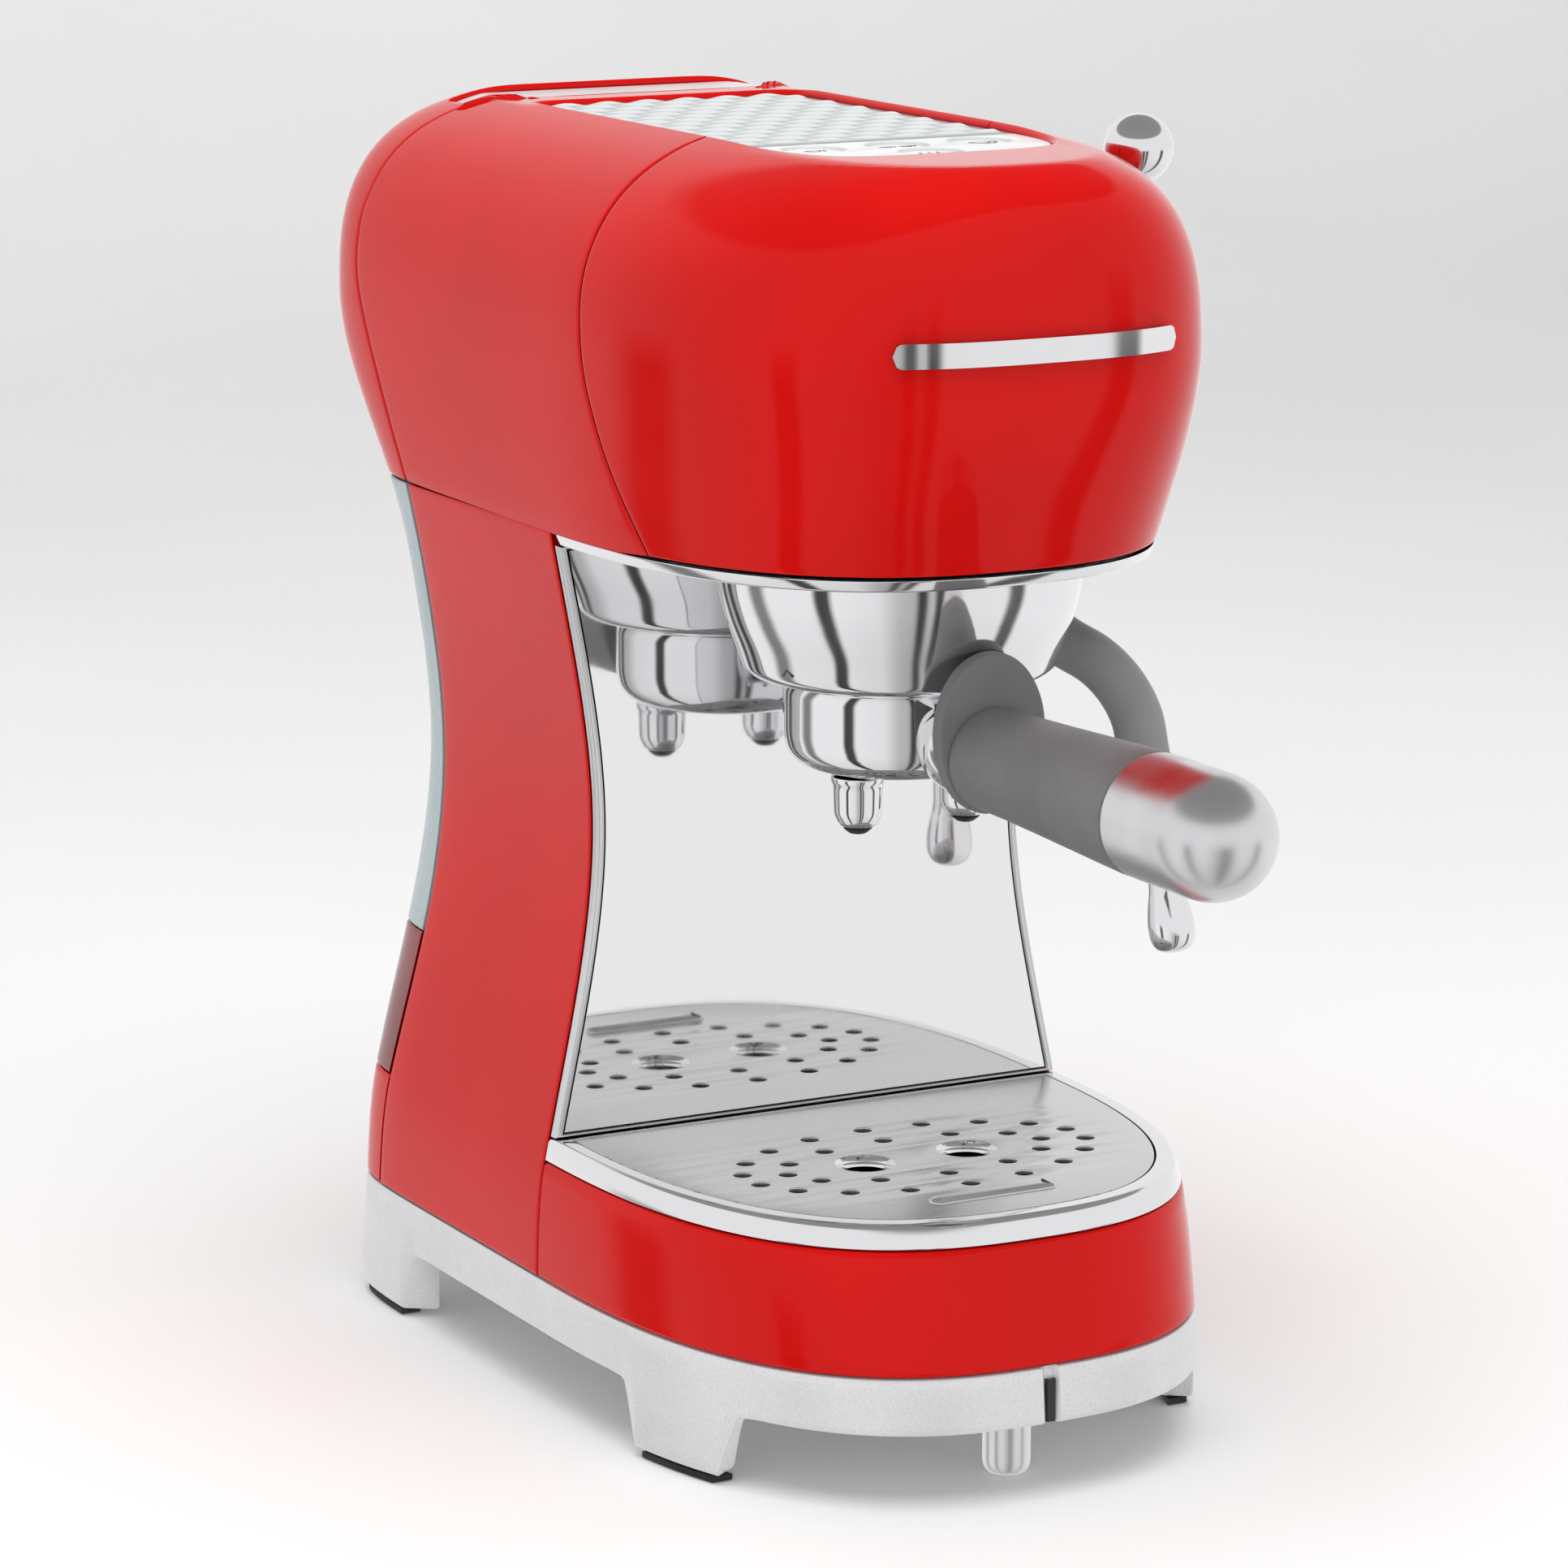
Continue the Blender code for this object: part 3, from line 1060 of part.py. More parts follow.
def machinery():
    px, py = PUMP_CENTRE
    low, high = PUMP_Z
    middle = (low + high) / 2
    pump = turned("pump", [(0.0, high), (0.004, high), (0.004, high - 0.008), (PUMP_RADIUS, high - 0.008),
                           (PUMP_RADIUS, low + 0.008), (0.005, low + 0.008), (0.005, low), (0.0, low)],
                  (px, py, 0.0), "black_plastic", steps=20)
    cx, cy, cz = (s / 2 for s in PUMP_COIL)
    coil = box_mesh((px - cx, py - cy, middle - cz), (px + cx, py + cy, middle + cz))
    boolean(pump, cutter(coil, "pump_coil"), "UNION")
    bl, bh = BOILER_Z
    turned("thermoblock", [(0.0, bh), (BOILER_RADIUS - 0.004, bh), (BOILER_RADIUS, bh - 0.004),
                           (BOILER_RADIUS, bl), (0.0, bl)],
           (0.0, 0.0300, 0.0), "zinc_steel", steps=24)
    foot, seat, cap = VALVE_Z
    turned("solenoid_valve", [(0.0, cap), (0.0110, cap), (0.0110, seat), (0.0070, seat), (0.0070, foot),
                              (0.0, foot)],
           (0.0, GROUP_Y, 0.0), "brass", steps=SMALL_STEPS)
    spigot_y = seam_y(SPIGOT_Z, REAR_SEAM)
    turned("tank_spigot", [(0.0, 0.012), (SPIGOT_RADIUS, 0.012), (SPIGOT_RADIUS, 0.0),
                           (SPIGOT_RADIUS + 0.003, 0.0),
                           (SPIGOT_RADIUS + 0.003, -0.004), (0.0, -0.004)],
           (0.0, spigot_y - 0.0090, SPIGOT_Z), "black_plastic", axis=(0.0, 1.0, 0.0), steps=SMALL_STEPS)
    tube("suction_hose", smooth_line([(0.0, spigot_y - 0.0136, SPIGOT_Z), (0.0, spigot_y - 0.0165, SPIGOT_Z),
                                      (-0.002, spigot_y - 0.022, SPIGOT_Z - 0.006),
                                      (-0.010, py + 0.006, 0.058), (px, py, 0.053), (px, py, low - GAP)], 4),
         0.0028, "silicone")


def build():
    base_frame()
    foot_pads()
    front_foot()
    base_slot_strip()
    tray()
    tray_tub()
    grille()
    side_panels()
    backsplash()
    rear_skirt()
    tank()
    head_shells()
    tank_lid()
    badge()
    head_trim()
    top_panel()
    group()
    portafilter()
    handle()
    steam_lever()
    steam_wand()
    chassis()
    machinery()


build()
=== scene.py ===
import json
import math

import bmesh
import bpy
import numpy as np
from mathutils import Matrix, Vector


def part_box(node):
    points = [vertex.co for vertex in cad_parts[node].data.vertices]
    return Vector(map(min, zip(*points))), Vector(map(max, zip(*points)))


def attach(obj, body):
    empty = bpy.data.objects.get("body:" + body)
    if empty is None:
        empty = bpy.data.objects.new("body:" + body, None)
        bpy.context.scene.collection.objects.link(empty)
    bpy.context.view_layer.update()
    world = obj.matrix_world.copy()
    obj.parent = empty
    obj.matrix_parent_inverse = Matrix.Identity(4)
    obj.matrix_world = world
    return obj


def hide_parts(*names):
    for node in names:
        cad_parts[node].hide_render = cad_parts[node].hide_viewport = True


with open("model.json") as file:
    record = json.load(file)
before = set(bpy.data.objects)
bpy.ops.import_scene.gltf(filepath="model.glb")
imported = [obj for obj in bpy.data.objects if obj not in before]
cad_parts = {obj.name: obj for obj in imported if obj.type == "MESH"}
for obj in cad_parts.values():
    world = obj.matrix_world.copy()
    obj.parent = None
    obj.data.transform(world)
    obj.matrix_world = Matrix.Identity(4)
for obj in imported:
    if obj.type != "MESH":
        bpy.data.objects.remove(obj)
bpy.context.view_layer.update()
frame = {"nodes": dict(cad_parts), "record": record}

bl_info = {
    "name": "Narrow retro espresso machine",
    "version": (1, 0, 0),
    "blender": (4, 5, 0),
    "location": "View3D > Sidebar > Espresso",
    "description": "Makes the visible surfaces, finishes and stage of a narrow one-group espresso machine",
    "category": "Add Mesh",
}

# Sizes are in metres in the machine's own frame: X = 0 on the centre plane, Y = 0 on the polished
# backsplash, Z = 0 on the bench.  Every finished mesh is then moved back by SPLASH_Y.
SPLASH_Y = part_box("backsplash_frame")[0].y

GAP = 0.0004
SEAM_GAP = 0.0005
SHELL_WALL = 0.0025

BASE_LOW_Z = 0.0186
BASE_HIGH_Z = 0.0328
TRAY_HIGH_Z = 0.0633
RIM_HIGH_Z = 0.0695
CUP_HIGH_Z = 0.1030
WAIST_Z = 0.1500
TRIM_LOW_Z = 0.2230
HEAD_LOW_Z = 0.2264
WIDEST_Z = 0.2740
TOP_Z = 0.3299
CROWN_HEIGHT = TOP_Z - WIDEST_Z

# The body's skin, as (height, value, slope) stations of its half width, front reach and back reach.
WIDTHS = [(BASE_LOW_Z, 0.0780, 0.0), (BASE_HIGH_Z, 0.0780, -0.03), (TRAY_HIGH_Z, 0.0757, -0.20),
          (WAIST_Z, 0.0618, 0.0), (HEAD_LOW_Z, 0.0726, 0.18), (WIDEST_Z, 0.0768, 0.0)]
FRONTS = [(BASE_LOW_Z, 0.1255, -0.1), (BASE_HIGH_Z, 0.1240, -0.2), (TRAY_HIGH_Z, 0.1178, -0.25),
          (RIM_HIGH_Z, 0.1152, -0.4), (HEAD_LOW_Z, 0.1050, 0.28), (WIDEST_Z, 0.1172, 0.0)]
BACKS = [(BASE_LOW_Z, 0.1265, 0.0), (TRAY_HIGH_Z, 0.1235, -0.08), (0.185, 0.1120, 0.0),
         (HEAD_LOW_Z, 0.1155, 0.45), (WIDEST_Z, 0.1392, 0.0)]
FRONT_SQUARENESS = [(TRAY_HIGH_Z, 2.60), (HEAD_LOW_Z, 2.45), (WIDEST_Z, 2.77)]
BACK_SQUARENESS = 12.0
CROWN_SIDE = 2.65
CROWN_FRONT = 6.8
CROWN_BACK = 6.6

# Vertical seams, as (height, distance behind the backsplash).
FRONT_SEAM = [(0.200, -0.056), (0.230, -0.043), (0.250, -0.032), (0.270, -0.0235), (0.290, -0.021),
              (0.340, -0.021)]
REAR_SEAM = [(0.020, 0.104), (0.063, 0.100), (0.110, 0.0945), (0.160, 0.092), (0.205, 0.0895), (0.228, 0.090),
             (0.250, 0.098), (0.279, 0.112), (0.298, 0.1125), (0.312, 0.107), (0.323, 0.097), (0.340, 0.093)]
COLUMN_FRONT_Y = 0.0032
TRAY_BACK_Y = COLUMN_FRONT_Y - SEAM_GAP - 0.0004

FRONT_FEET_Y = (-0.079, -0.049)
REAR_FEET_Y = (0.086, 0.116)
FOOT_LOW_Z = 0.0017
FRONT_FOOT_Y = -0.103

PANEL_HALF_WIDTH = 0.0395
PANEL_FRONT_Y = -0.0730
PANEL_BACK_Y = 0.0840
PANEL_CENTRE_Y = -0.012
PANEL_TOP_Z = 0.3238
CONTROL_EDGE_Y = -0.0345
BUTTON_RADIUS = 0.0078
BUTTON_SUNK = 0.0006
BUTTONS = {"button_left": (-0.0233, -0.0445), "button_centre": (0.0, -0.0445),
           "button_right": (0.0233, -0.0445), "button_steam": (0.0, -0.0615)}
SHELF_Z = 0.3250
LID_TOP_Z = 0.3248
LID_HALF_WIDTH = 0.0460
LID_Y = (0.1008, 0.1170)

GROUP_Y = -0.0465
HANDLE_Z = 0.1790
GRILLE_CENTRE_Y = -0.0564
PULL_Y = -0.0955
LEVER_Y = -0.0060
LEVER_Z = 0.2850
LEVER_BALL = (0.0850, -0.0190, 0.3166)
BADGE_Z = 0.2820


# ---------------------------------------------------------------- meshes from whole arrays
def make_object(name, pieces, outward_from=None):
    """One mesh from one or more (vertices, faces) shells.  Closed shells are turned outwards by their
    own volume; an open one is turned so that its faces look away from the point outward_from."""
    shift = 0
    vertices, faces = [], []
    for part_vertices, part_faces in pieces:
        used = np.unique(np.concatenate([np.asarray(face) for face in part_faces]))
        place = np.full(len(part_vertices), -1)
        place[used] = np.arange(len(used)) + shift
        vertices.append(part_vertices[used])
        faces += [place[list(face)].tolist() for face in part_faces]
        shift += len(used)
    points = np.vstack(vertices) + (0.0, SPLASH_Y, 0.0)
    mesh = bpy.data.meshes.new(name)
    mesh.from_pydata(points, [], faces)
    obj = bpy.data.objects.new(name, mesh)
    bpy.context.scene.collection.objects.link(obj)
    if outward_from is None:
        sheet = bmesh.new()
        sheet.from_mesh(mesh)
        bmesh.ops.recalc_face_normals(sheet, faces=sheet.faces)
        sheet.to_mesh(mesh)
        sheet.free()
    else:
        centres = np.zeros(len(mesh.polygons) * 3)
        normals = np.zeros(len(mesh.polygons) * 3)
        mesh.polygons.foreach_get("center", centres)
        mesh.polygons.foreach_get("normal", normals)
        away = centres.reshape(-1, 3) - (np.array(outward_from) + (0.0, SPLASH_Y, 0.0))
        if (away * normals.reshape(-1, 3)).sum() < 0.0:
            mesh.flip_normals()
    mesh.shade_smooth()
    mesh.set_sharp_from_angle(angle=math.radians(38))
    sheet = bmesh.new()
    sheet.from_mesh(mesh)
    for edge in sheet.edges:
        edge.smooth = edge.smooth and not edge.is_boundary
    sheet.to_mesh(mesh)
    sheet.free()
    return obj


def grid(points, wrap_rows=False, wrap_columns=False, cap_first=False, cap_last=False):
    """Vertices and faces of a surface sampled in rows and columns: each face joins neighbours in both
    directions, a row that has shrunk to a point becomes a fan, and a capped end row gets one flat face."""
    points = np.asarray(points, float)
    rows, columns = points.shape[:2]
    index = np.arange(rows * columns).reshape(rows, columns)
    for row in (0, rows - 1):
        if np.ptp(points[row], axis=0).max() < 1e-7:
            index[row] = index[row, 0]
    ring = np.vstack([index, index[:1]]) if wrap_rows else index
    ring = np.hstack([ring, ring[:, :1]]) if wrap_columns else ring
    quads = np.stack([ring[:-1, :-1], ring[:-1, 1:], ring[1:, 1:], ring[1:, :-1]], axis=-1).reshape(-1, 4)
    fans = (quads[:, 0] == quads[:, 1]) | (quads[:, 2] == quads[:, 3])
    faces = quads[~fans].tolist() + [list(dict.fromkeys(face)) for face in quads[fans].tolist()]
    if cap_first:
        faces.append(index[0].tolist())
    if cap_last:
        faces.append(index[-1, ::-1].tolist())
    return points.reshape(-1, 3), faces


def unit(vector):
    vector = np.asarray(vector, float)
    return vector / np.linalg.norm(vector, axis=-1, keepdims=True)


def rounded(corners, step=0.004, arc=5, closed=False):
    """Line through (a, b, r) corners: each corner becomes the quadratic curve that leaves its two sides
    r away from it, and longer straight runs are split into equal steps."""
    spots = np.array([corner[:2] for corner in corners], float)
    count = len(spots)
    line = []
    for i, (spot, corner) in enumerate(zip(spots, corners)):
        inner = closed or 0 < i < count - 1
        if not inner or corner[2] <= 0.0:
            line.append(spot[None])
            continue
        before, after = spots[i - 1] - spot, spots[(i + 1) % count] - spot
        reach = min(corner[2], 0.49 * np.linalg.norm(before), 0.49 * np.linalg.norm(after))
        t = np.linspace(0, 1, arc + 1)[:, None]
        start, end = spot + unit(before) * reach, spot + unit(after) * reach
        line.append((1 - t)**2 * start + 2 * t * (1 - t) * spot + t**2 * end)
    line = np.vstack(line + ([line[0][:1]] if closed else []))
    runs = [line[:1]]
    for a, b in zip(line[:-1], line[1:]):
        pieces = max(1, math.ceil(np.linalg.norm(b - a) / step))
        runs.append(a + (b - a) * np.linspace(0, 1, pieces + 1)[1:, None])
    line = np.vstack(runs)
    return line[:-1] if closed else line


def lathe(corners, centre, axis=(0.0, 0.0, 1.0), around=96, step=0.004, closed=False):
    """Surface of revolution: at height h along the axis the ring is centre + r (cos a U + sin a V) + h W."""
    profile = rounded(corners, step, closed=closed)
    along = unit(axis)
    across = unit(np.cross(along, (0.0, 0.0, 1.0) if abs(along[2]) < 0.9 else (0.0, 1.0, 0.0)))
    third = np.cross(along, across)
    angle = np.linspace(0, 2 * np.pi, around, endpoint=False)[:, None]
    ring = np.cos(angle) * across + np.sin(angle) * third
    points = np.asarray(centre) + profile[:, 0, None, None] * ring + profile[:, 1, None, None] * along
    return grid(points, wrap_rows=closed, wrap_columns=True)


def smooth_path(points, pieces=10):
    """Catmull-Rom line through the points: each stretch is the cubic that leaves and meets its end
    points along the line between their neighbours."""
    points = np.asarray(points, float)
    full = np.vstack([2 * points[0] - points[1], points, 2 * points[-1] - points[-2]])
    t = np.linspace(0, 1, pieces, endpoint=False)[:, None]
    line = [0.5 * (2 * b + (c - a) * t + (2 * a - 5 * b + 4 * c - d) * t**2 + (3 * b - a - 3 * c + d) * t**3)
            for a, b, c, d in zip(full, full[1:], full[2:], full[3:])]
    return np.vstack(line + [points[-1:]])


def tube(path, radius, reference, around=40, end_round=0.0):
    """A ring of the given radius carried along a path, square to it.  The ends are closed, and rounded
    over a quarter ellipse of length end_round."""
    path = np.asarray(path, float)
    radius = np.broadcast_to(np.asarray(radius, float), (len(path),)).copy()
    direction = unit(np.gradient(path, axis=0))
    if end_round:
        turn = np.linspace(0, np.pi / 2, 7)[1:, None]
        head = path[0] - direction[0] * end_round * np.sin(turn)
        tail = path[-1] + direction[-1] * end_round * np.sin(turn)
        shrink = np.cos(turn[:, 0])
        shrink[-1] = 0.0
        path = np.vstack([head[::-1], path, tail])
        direction = np.vstack([np.repeat(direction[:1], 6, 0), direction, np.repeat(direction[-1:], 6, 0)])
        radius = np.concatenate([(radius[0] * shrink)[::-1], radius, radius[-1] * shrink])
    side = unit(np.asarray(reference) - (direction @ np.asarray(reference))[:, None] * direction)
    up = np.cross(direction, side)
    angle = np.linspace(0, 2 * np.pi, around, endpoint=False)[None, :, None]
    ring = np.cos(angle) * side[:, None] + np.sin(angle) * up[:, None]
    points = path[:, None] + radius[:, None, None] * ring
    return grid(points, wrap_columns=True, cap_first=not end_round, cap_last=not end_round)


# ---------------------------------------------------------------- the body's skin
def stations(z, rows):
    """Cubic through (height, value, slope) stations, level beyond the first and the last."""
    rows = np.array(rows)
    z = np.clip(z, rows[0, 0], rows[-1, 0])
    i = np.clip(np.searchsorted(rows[:, 0], z, side="left") - 1, 0, len(rows) - 2)
    low, high = rows[i], rows[i + 1]
    h = high[..., 0] - low[..., 0]
    t = (z - low[..., 0]) / h
    return ((2 * t**3 - 3 * t**2 + 1) * low[..., 1] + (t**3 - 2 * t**2 + t) * h * low[..., 2]
            + (3 * t**2 - 2 * t**3) * high[..., 1] + (t**3 - t**2) * h * high[..., 2])


def between(z, rows):
    return np.interp(z, [row[0] for row in rows], [row[1] for row in rows])


def eased_seam(z, rows):
    """A seam's (height, distance) points joined by a rounded line: the mean of the straight joins over
    a short span of height."""
    spans = np.linspace(-0.006, 0.006, 7)
    return sum(between(z + span, rows) for span in spans) / len(spans)


def reaches(z, inset):
    """Half width, front reach, back reach and front squareness at height z, taken in by inset.  Over
    the widest height each reach shrinks as (1 - rise^n)^(1/n), with its own n."""
    rise = np.clip((z - WIDEST_Z) / (TOP_Z - inset - WIDEST_Z), 0.0, 1.0)
    return ((stations(z, WIDTHS) - inset) * (1 - rise**CROWN_SIDE) ** (1 / CROWN_SIDE),
            (stations(z, FRONTS) - inset) * (1 - rise**CROWN_FRONT) ** (1 / CROWN_FRONT),
            (stations(z, BACKS) - inset) * (1 - rise**CROWN_BACK) ** (1 / CROWN_BACK),
            between(z, FRONT_SQUARENESS))


def turn_at(y, z, inset=0.0):
    """Direction, from the centre line, of the skin point at depth y and height z."""
    _, front, back, square = reaches(z, inset)
    q = np.clip(np.where(y < 0, -y / front, y / back), 0.0, 1.0)
    n = np.where(y < 0, square, BACK_SQUARENESS)
    return np.sign(y) * np.arctan2(q, (1 - q**n) ** (1 / n))


def skin(turn, z, inset=0.0):
    """Point of the skin's +X half: a superellipse |x/w|^n + |y/l|^n = 1, met by the ray that points
    at turn (-90 degrees is the front tip, 90 degrees the middle of the back)."""
    turn, z, inset = np.broadcast_arrays(turn, z, inset)
    width, front, back, square = reaches(z, inset)
    n = np.where(turn < 0, square, BACK_SQUARENESS)
    p, q = np.abs(np.cos(turn)), np.abs(np.sin(turn))
    p = np.where(p < 1e-9, 0.0, p)
    ray = (p**n + q**n) ** (-1 / n)
    return np.stack([width * ray * p, np.where(turn < 0, -front, back) * ray * q, z], axis=-1)


def crown_height(x, y, inset=0.0):
    """Height of the crown over (x, y), by halving the interval in which the point leaves the plan."""
    x, y = np.abs(x), np.asarray(y, float)
    low, high = np.full(x.shape, WIDEST_Z), np.full(x.shape, TOP_Z - inset)
    for _ in range(45):
        z = (low + high) / 2
        width, front, back, square = reaches(z, inset)
        n = np.where(y < 0, square, BACK_SQUARENESS)
        length = np.where(y < 0, front, back)
        inside = (x / np.maximum(width, 1e-9))**n + (np.abs(y) / np.maximum(length, 1e-9))**n < 1.0
        low, high = np.where(inside, z, low), np.where(inside, high, z)
    return low


def climb(z):
    """Evenly spread measure of height: metres below the widest line, and over it the arc of a
    superellipse with rise = sin and width = cos of the angle, scaled to one ray."""
    rise = np.clip((z - WIDEST_Z) / CROWN_HEIGHT, 0.0, 1.0)
    across = (1 - rise**CROWN_SIDE) ** (1 / CROWN_SIDE)
    return np.where(z <= WIDEST_Z, z - WIDEST_Z, np.arctan2(rise, across) * CROWN_HEIGHT)


def height_of(w):
    """Height for a climb value: the inverse of climb."""
    angle = np.clip(w / CROWN_HEIGHT, 0.0, np.pi / 2)
    s, c = np.sin(angle), np.cos(angle)
    ray = (s**CROWN_SIDE + c**CROWN_SIDE) ** (-1 / CROWN_SIDE)
    return np.where(w <= 0, WIDEST_Z + w, WIDEST_Z + CROWN_HEIGHT * ray * s)


def loops(z, inset=0.0, y_front=None, y_back=None, along=110, across=24):
    """Closed plans of the body at many heights, cut square by planes in front and behind where given:
    the +X side from front to back, the back edge, the -X side back to the front, the front edge."""
    z = np.asarray(z, float)[:, None]
    inset = np.broadcast_to(np.asarray(inset, float).reshape(-1, 1), z.shape)
    first = np.full(z.shape, -np.pi / 2) if y_front is None else turn_at(np.reshape(y_front, (-1, 1)) + 0 * z,
                                                                         z, inset)
    last = np.full(z.shape, np.pi / 2) if y_back is None else turn_at(np.reshape(y_back, (-1, 1)) + 0 * z, z,
                                                                      inset)
    right = skin(first + (last - first) * np.linspace(0, 1, along), z, inset)
    left = right[:, ::-1] * (-1.0, 1.0, 1.0)
    share = np.linspace(0, 1, across + 2)[1:-1, None]
    parts = [right]
    if y_back is None:
        left = left[:, 1:]
    else:
        parts.append(right[:, -1:] + (left[:, :1] - right[:, -1:]) * share)
    if y_front is None:
        left = left[:, :-1]
    parts.append(left)
    if y_front is not None:
        parts.append(left[:, -1:] + (right[:, :1] - left[:, -1:]) * share)
    return np.concatenate(parts, axis=1)


def stack(corners, y_front=None, y_back=None, step=0.004, closed=False, caps=True, **more):
    """A solid whose wall is a slice of the body: corners give (inset, height, rounding), and each row
    is the body's plan at that height and inset.  y_front and y_back are functions of height."""
    profile = rounded(corners, step, arc=4, closed=closed)
    inset, z = profile[:, 0], profile[:, 1]
    front = None if y_front is None else y_front(z) + inset
    back = None if y_back is None else y_back(z) - inset
    rows = loops(z, inset, front, back, **more)
    return grid(rows, wrap_rows=closed, wrap_columns=True, cap_first=caps and not closed,
                cap_last=caps and not closed)


# ---------------------------------------------------------------- finishing
def add_modifier(obj, kind, name, **settings):
    modifier = obj.modifiers.new(name, kind)
    for key, value in settings.items():
        setattr(modifier, key, value)
    return modifier


def add_wall(obj, thickness):
    """Gives an open skin its thickness, inwards."""
    add_modifier(obj, "SOLIDIFY", "wall", thickness=thickness, offset=-1.0)


def with_fine_ends(count, fine):
    """Steps from 0 to 1 with a few close ones within this share of each end."""
    near = np.array([0.0, 0.18, 0.45, 0.75]) * fine
    return np.concatenate([near, np.linspace(fine, 1 - fine, count - 8), (1 - near)[::-1]])


ROLL = np.array([0.00034, 0.00017, 0.00007, 0.00002])


def skin_normal(points):
    """Outward normal of the skin: the gradient of |x/w(z)|^n + |y/l(z)|^n, by small differences."""
    def level(x, y, z):
        width, front, back, square = reaches(np.minimum(z, TOP_Z - 1e-5), 0.0)
        n = np.where(y < 0, square, BACK_SQUARENESS)
        return (np.abs(x) / width)**n + (np.abs(y) / np.where(y < 0, front, back))**n

    step = 2e-6
    x, y, z = np.moveaxis(points, -1, 0)
    slopes = [level(x + step, y, z) - level(x - step, y, z), level(x, y + step, z) - level(x, y - step, z),
              level(x, y, z + step) - level(x, y, z - step)]
    return unit(np.stack(slopes, axis=-1) + (0.0, 0.0, 1e-12))


def roll_borders(points, first_row=True, last_row=True, columns=True):
    """Turns the borders of a skin patch inwards over their last few rows and columns, along the
    skin's normal, so that an open seam shows two softly rolled edges."""
    normal = skin_normal(points)
    drop = np.zeros(points.shape[:2])
    for i, depth in enumerate(ROLL):
        if first_row:
            drop[i] = np.maximum(drop[i], depth)
        if last_row:
            drop[-1 - i] = np.maximum(drop[-1 - i], depth)
        if columns:
            drop[:, i] = np.maximum(drop[:, i], depth)
            drop[:, -1 - i] = np.maximum(drop[:, -1 - i], depth)
    return points - drop[..., None] * normal


def round_edges(obj, edge, segments=3):
    add_modifier(obj, "BEVEL", "rounded_edges", width=edge, segments=segments, limit_method="ANGLE",
                 angle_limit=math.radians(50), harden_normals=True)


def deliver(obj, body, slot, material, *nodes):
    """Paints a piece, puts it on its body, names its record slot and hides the CAD nodes it stands for."""
    obj.data.materials.clear()
    obj.data.materials.append(material)
    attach(obj, body)
    if nodes:
        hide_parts(*nodes)
    return obj


def flat_outline(name, rings, low_z, high_z, edge):
    """A flat plate with holes: 2D curves filled, extruded and rounded at every edge, made a mesh and
    only then moved to its height."""
    curve = bpy.data.curves.new(name, "CURVE")
    curve.dimensions = "2D"
    curve.fill_mode = "BOTH"
    curve.extrude = (high_z - low_z) / 2 - edge
    curve.bevel_depth = edge
    curve.bevel_resolution = 2
    curve.offset = -edge
    for ring in rings:
        spline = curve.splines.new("POLY")
        spline.points.add(len(ring) - 1)
        spline.use_cyclic_u = True
        spots = np.c_[ring, np.zeros(len(ring)), np.ones(len(ring))]
        spline.points.foreach_set("co", spots.ravel())
    drawn = bpy.data.objects.new(name + "_drawn", curve)
    bpy.context.scene.collection.objects.link(drawn)
    depsgraph = bpy.context.evaluated_depsgraph_get()
    mesh = bpy.data.meshes.new_from_object(drawn.evaluated_get(depsgraph))
    bpy.data.objects.remove(drawn)
    sheet = bmesh.new()
    sheet.from_mesh(mesh)
    bmesh.ops.remove_doubles(sheet, verts=sheet.verts, dist=1e-6)
    bmesh.ops.translate(sheet, verts=sheet.verts, vec=(0.0, SPLASH_Y, (low_z + high_z) / 2))
    bmesh.ops.recalc_face_normals(sheet, faces=sheet.faces)
    sheet.to_mesh(mesh)
    sheet.free()
    mesh.name = name
    obj = bpy.data.objects.new(name, mesh)
    bpy.context.scene.collection.objects.link(obj)
    mesh.shade_smooth()
    mesh.set_sharp_from_angle(angle=math.radians(30))
    return obj


def ring_points(centre, radius, count=40, stretch=0.0):
    """Points of a circle, or of a slot whose round ends are stretch apart on each side in X."""
    angle = np.linspace(0, 2 * np.pi, count, endpoint=False) + np.pi / count
    x = centre[0] + radius * np.cos(angle) + np.sign(np.cos(angle)) * stretch
    return np.c_[x, centre[1] + radius * np.sin(angle)]


# ---------------------------------------------------------------- finishes
def linear(hex_colour):
    """Linear colour of an sRGB hex value: v/12.92 under 0.04045, else ((v + 0.055) / 1.055)^2.4."""
    values = np.array([int(hex_colour[i:i + 2], 16) / 255 for i in (1, 3, 5)])
    mixed = np.where(values <= 0.04045, values / 12.92, ((values + 0.055) / 1.055) ** 2.4)
    return (*mixed.tolist(), 1.0)


def per_mm(size):
    """Noise scale for features of this many millimetres."""
    return 1000.0 / size


def add(tree, kind, links=(), sockets=(), stops=(), **settings):
    """Adds one node: settings are its properties, sockets its input values, stops the positions and
    colours of its ramp, links its incoming wires."""
    node = tree.nodes.new(kind)
    for key, value in settings.items():
        setattr(node, key, value)
    for key, value in sockets:
        node.inputs[key].default_value = value
    for position, _ in stops[1:-1]:
        node.color_ramp.elements.new(position)
    for element, (position, colour) in zip(node.color_ramp.elements if stops else (), stops):
        element.position = position
        element.color = colour
    for key, source in links:
        tree.links.new(source, node.inputs[key])
    return node


def grey(value):
    return (value, value, value, 1.0)


EVEN = (1.0, 1.0, 1.0)


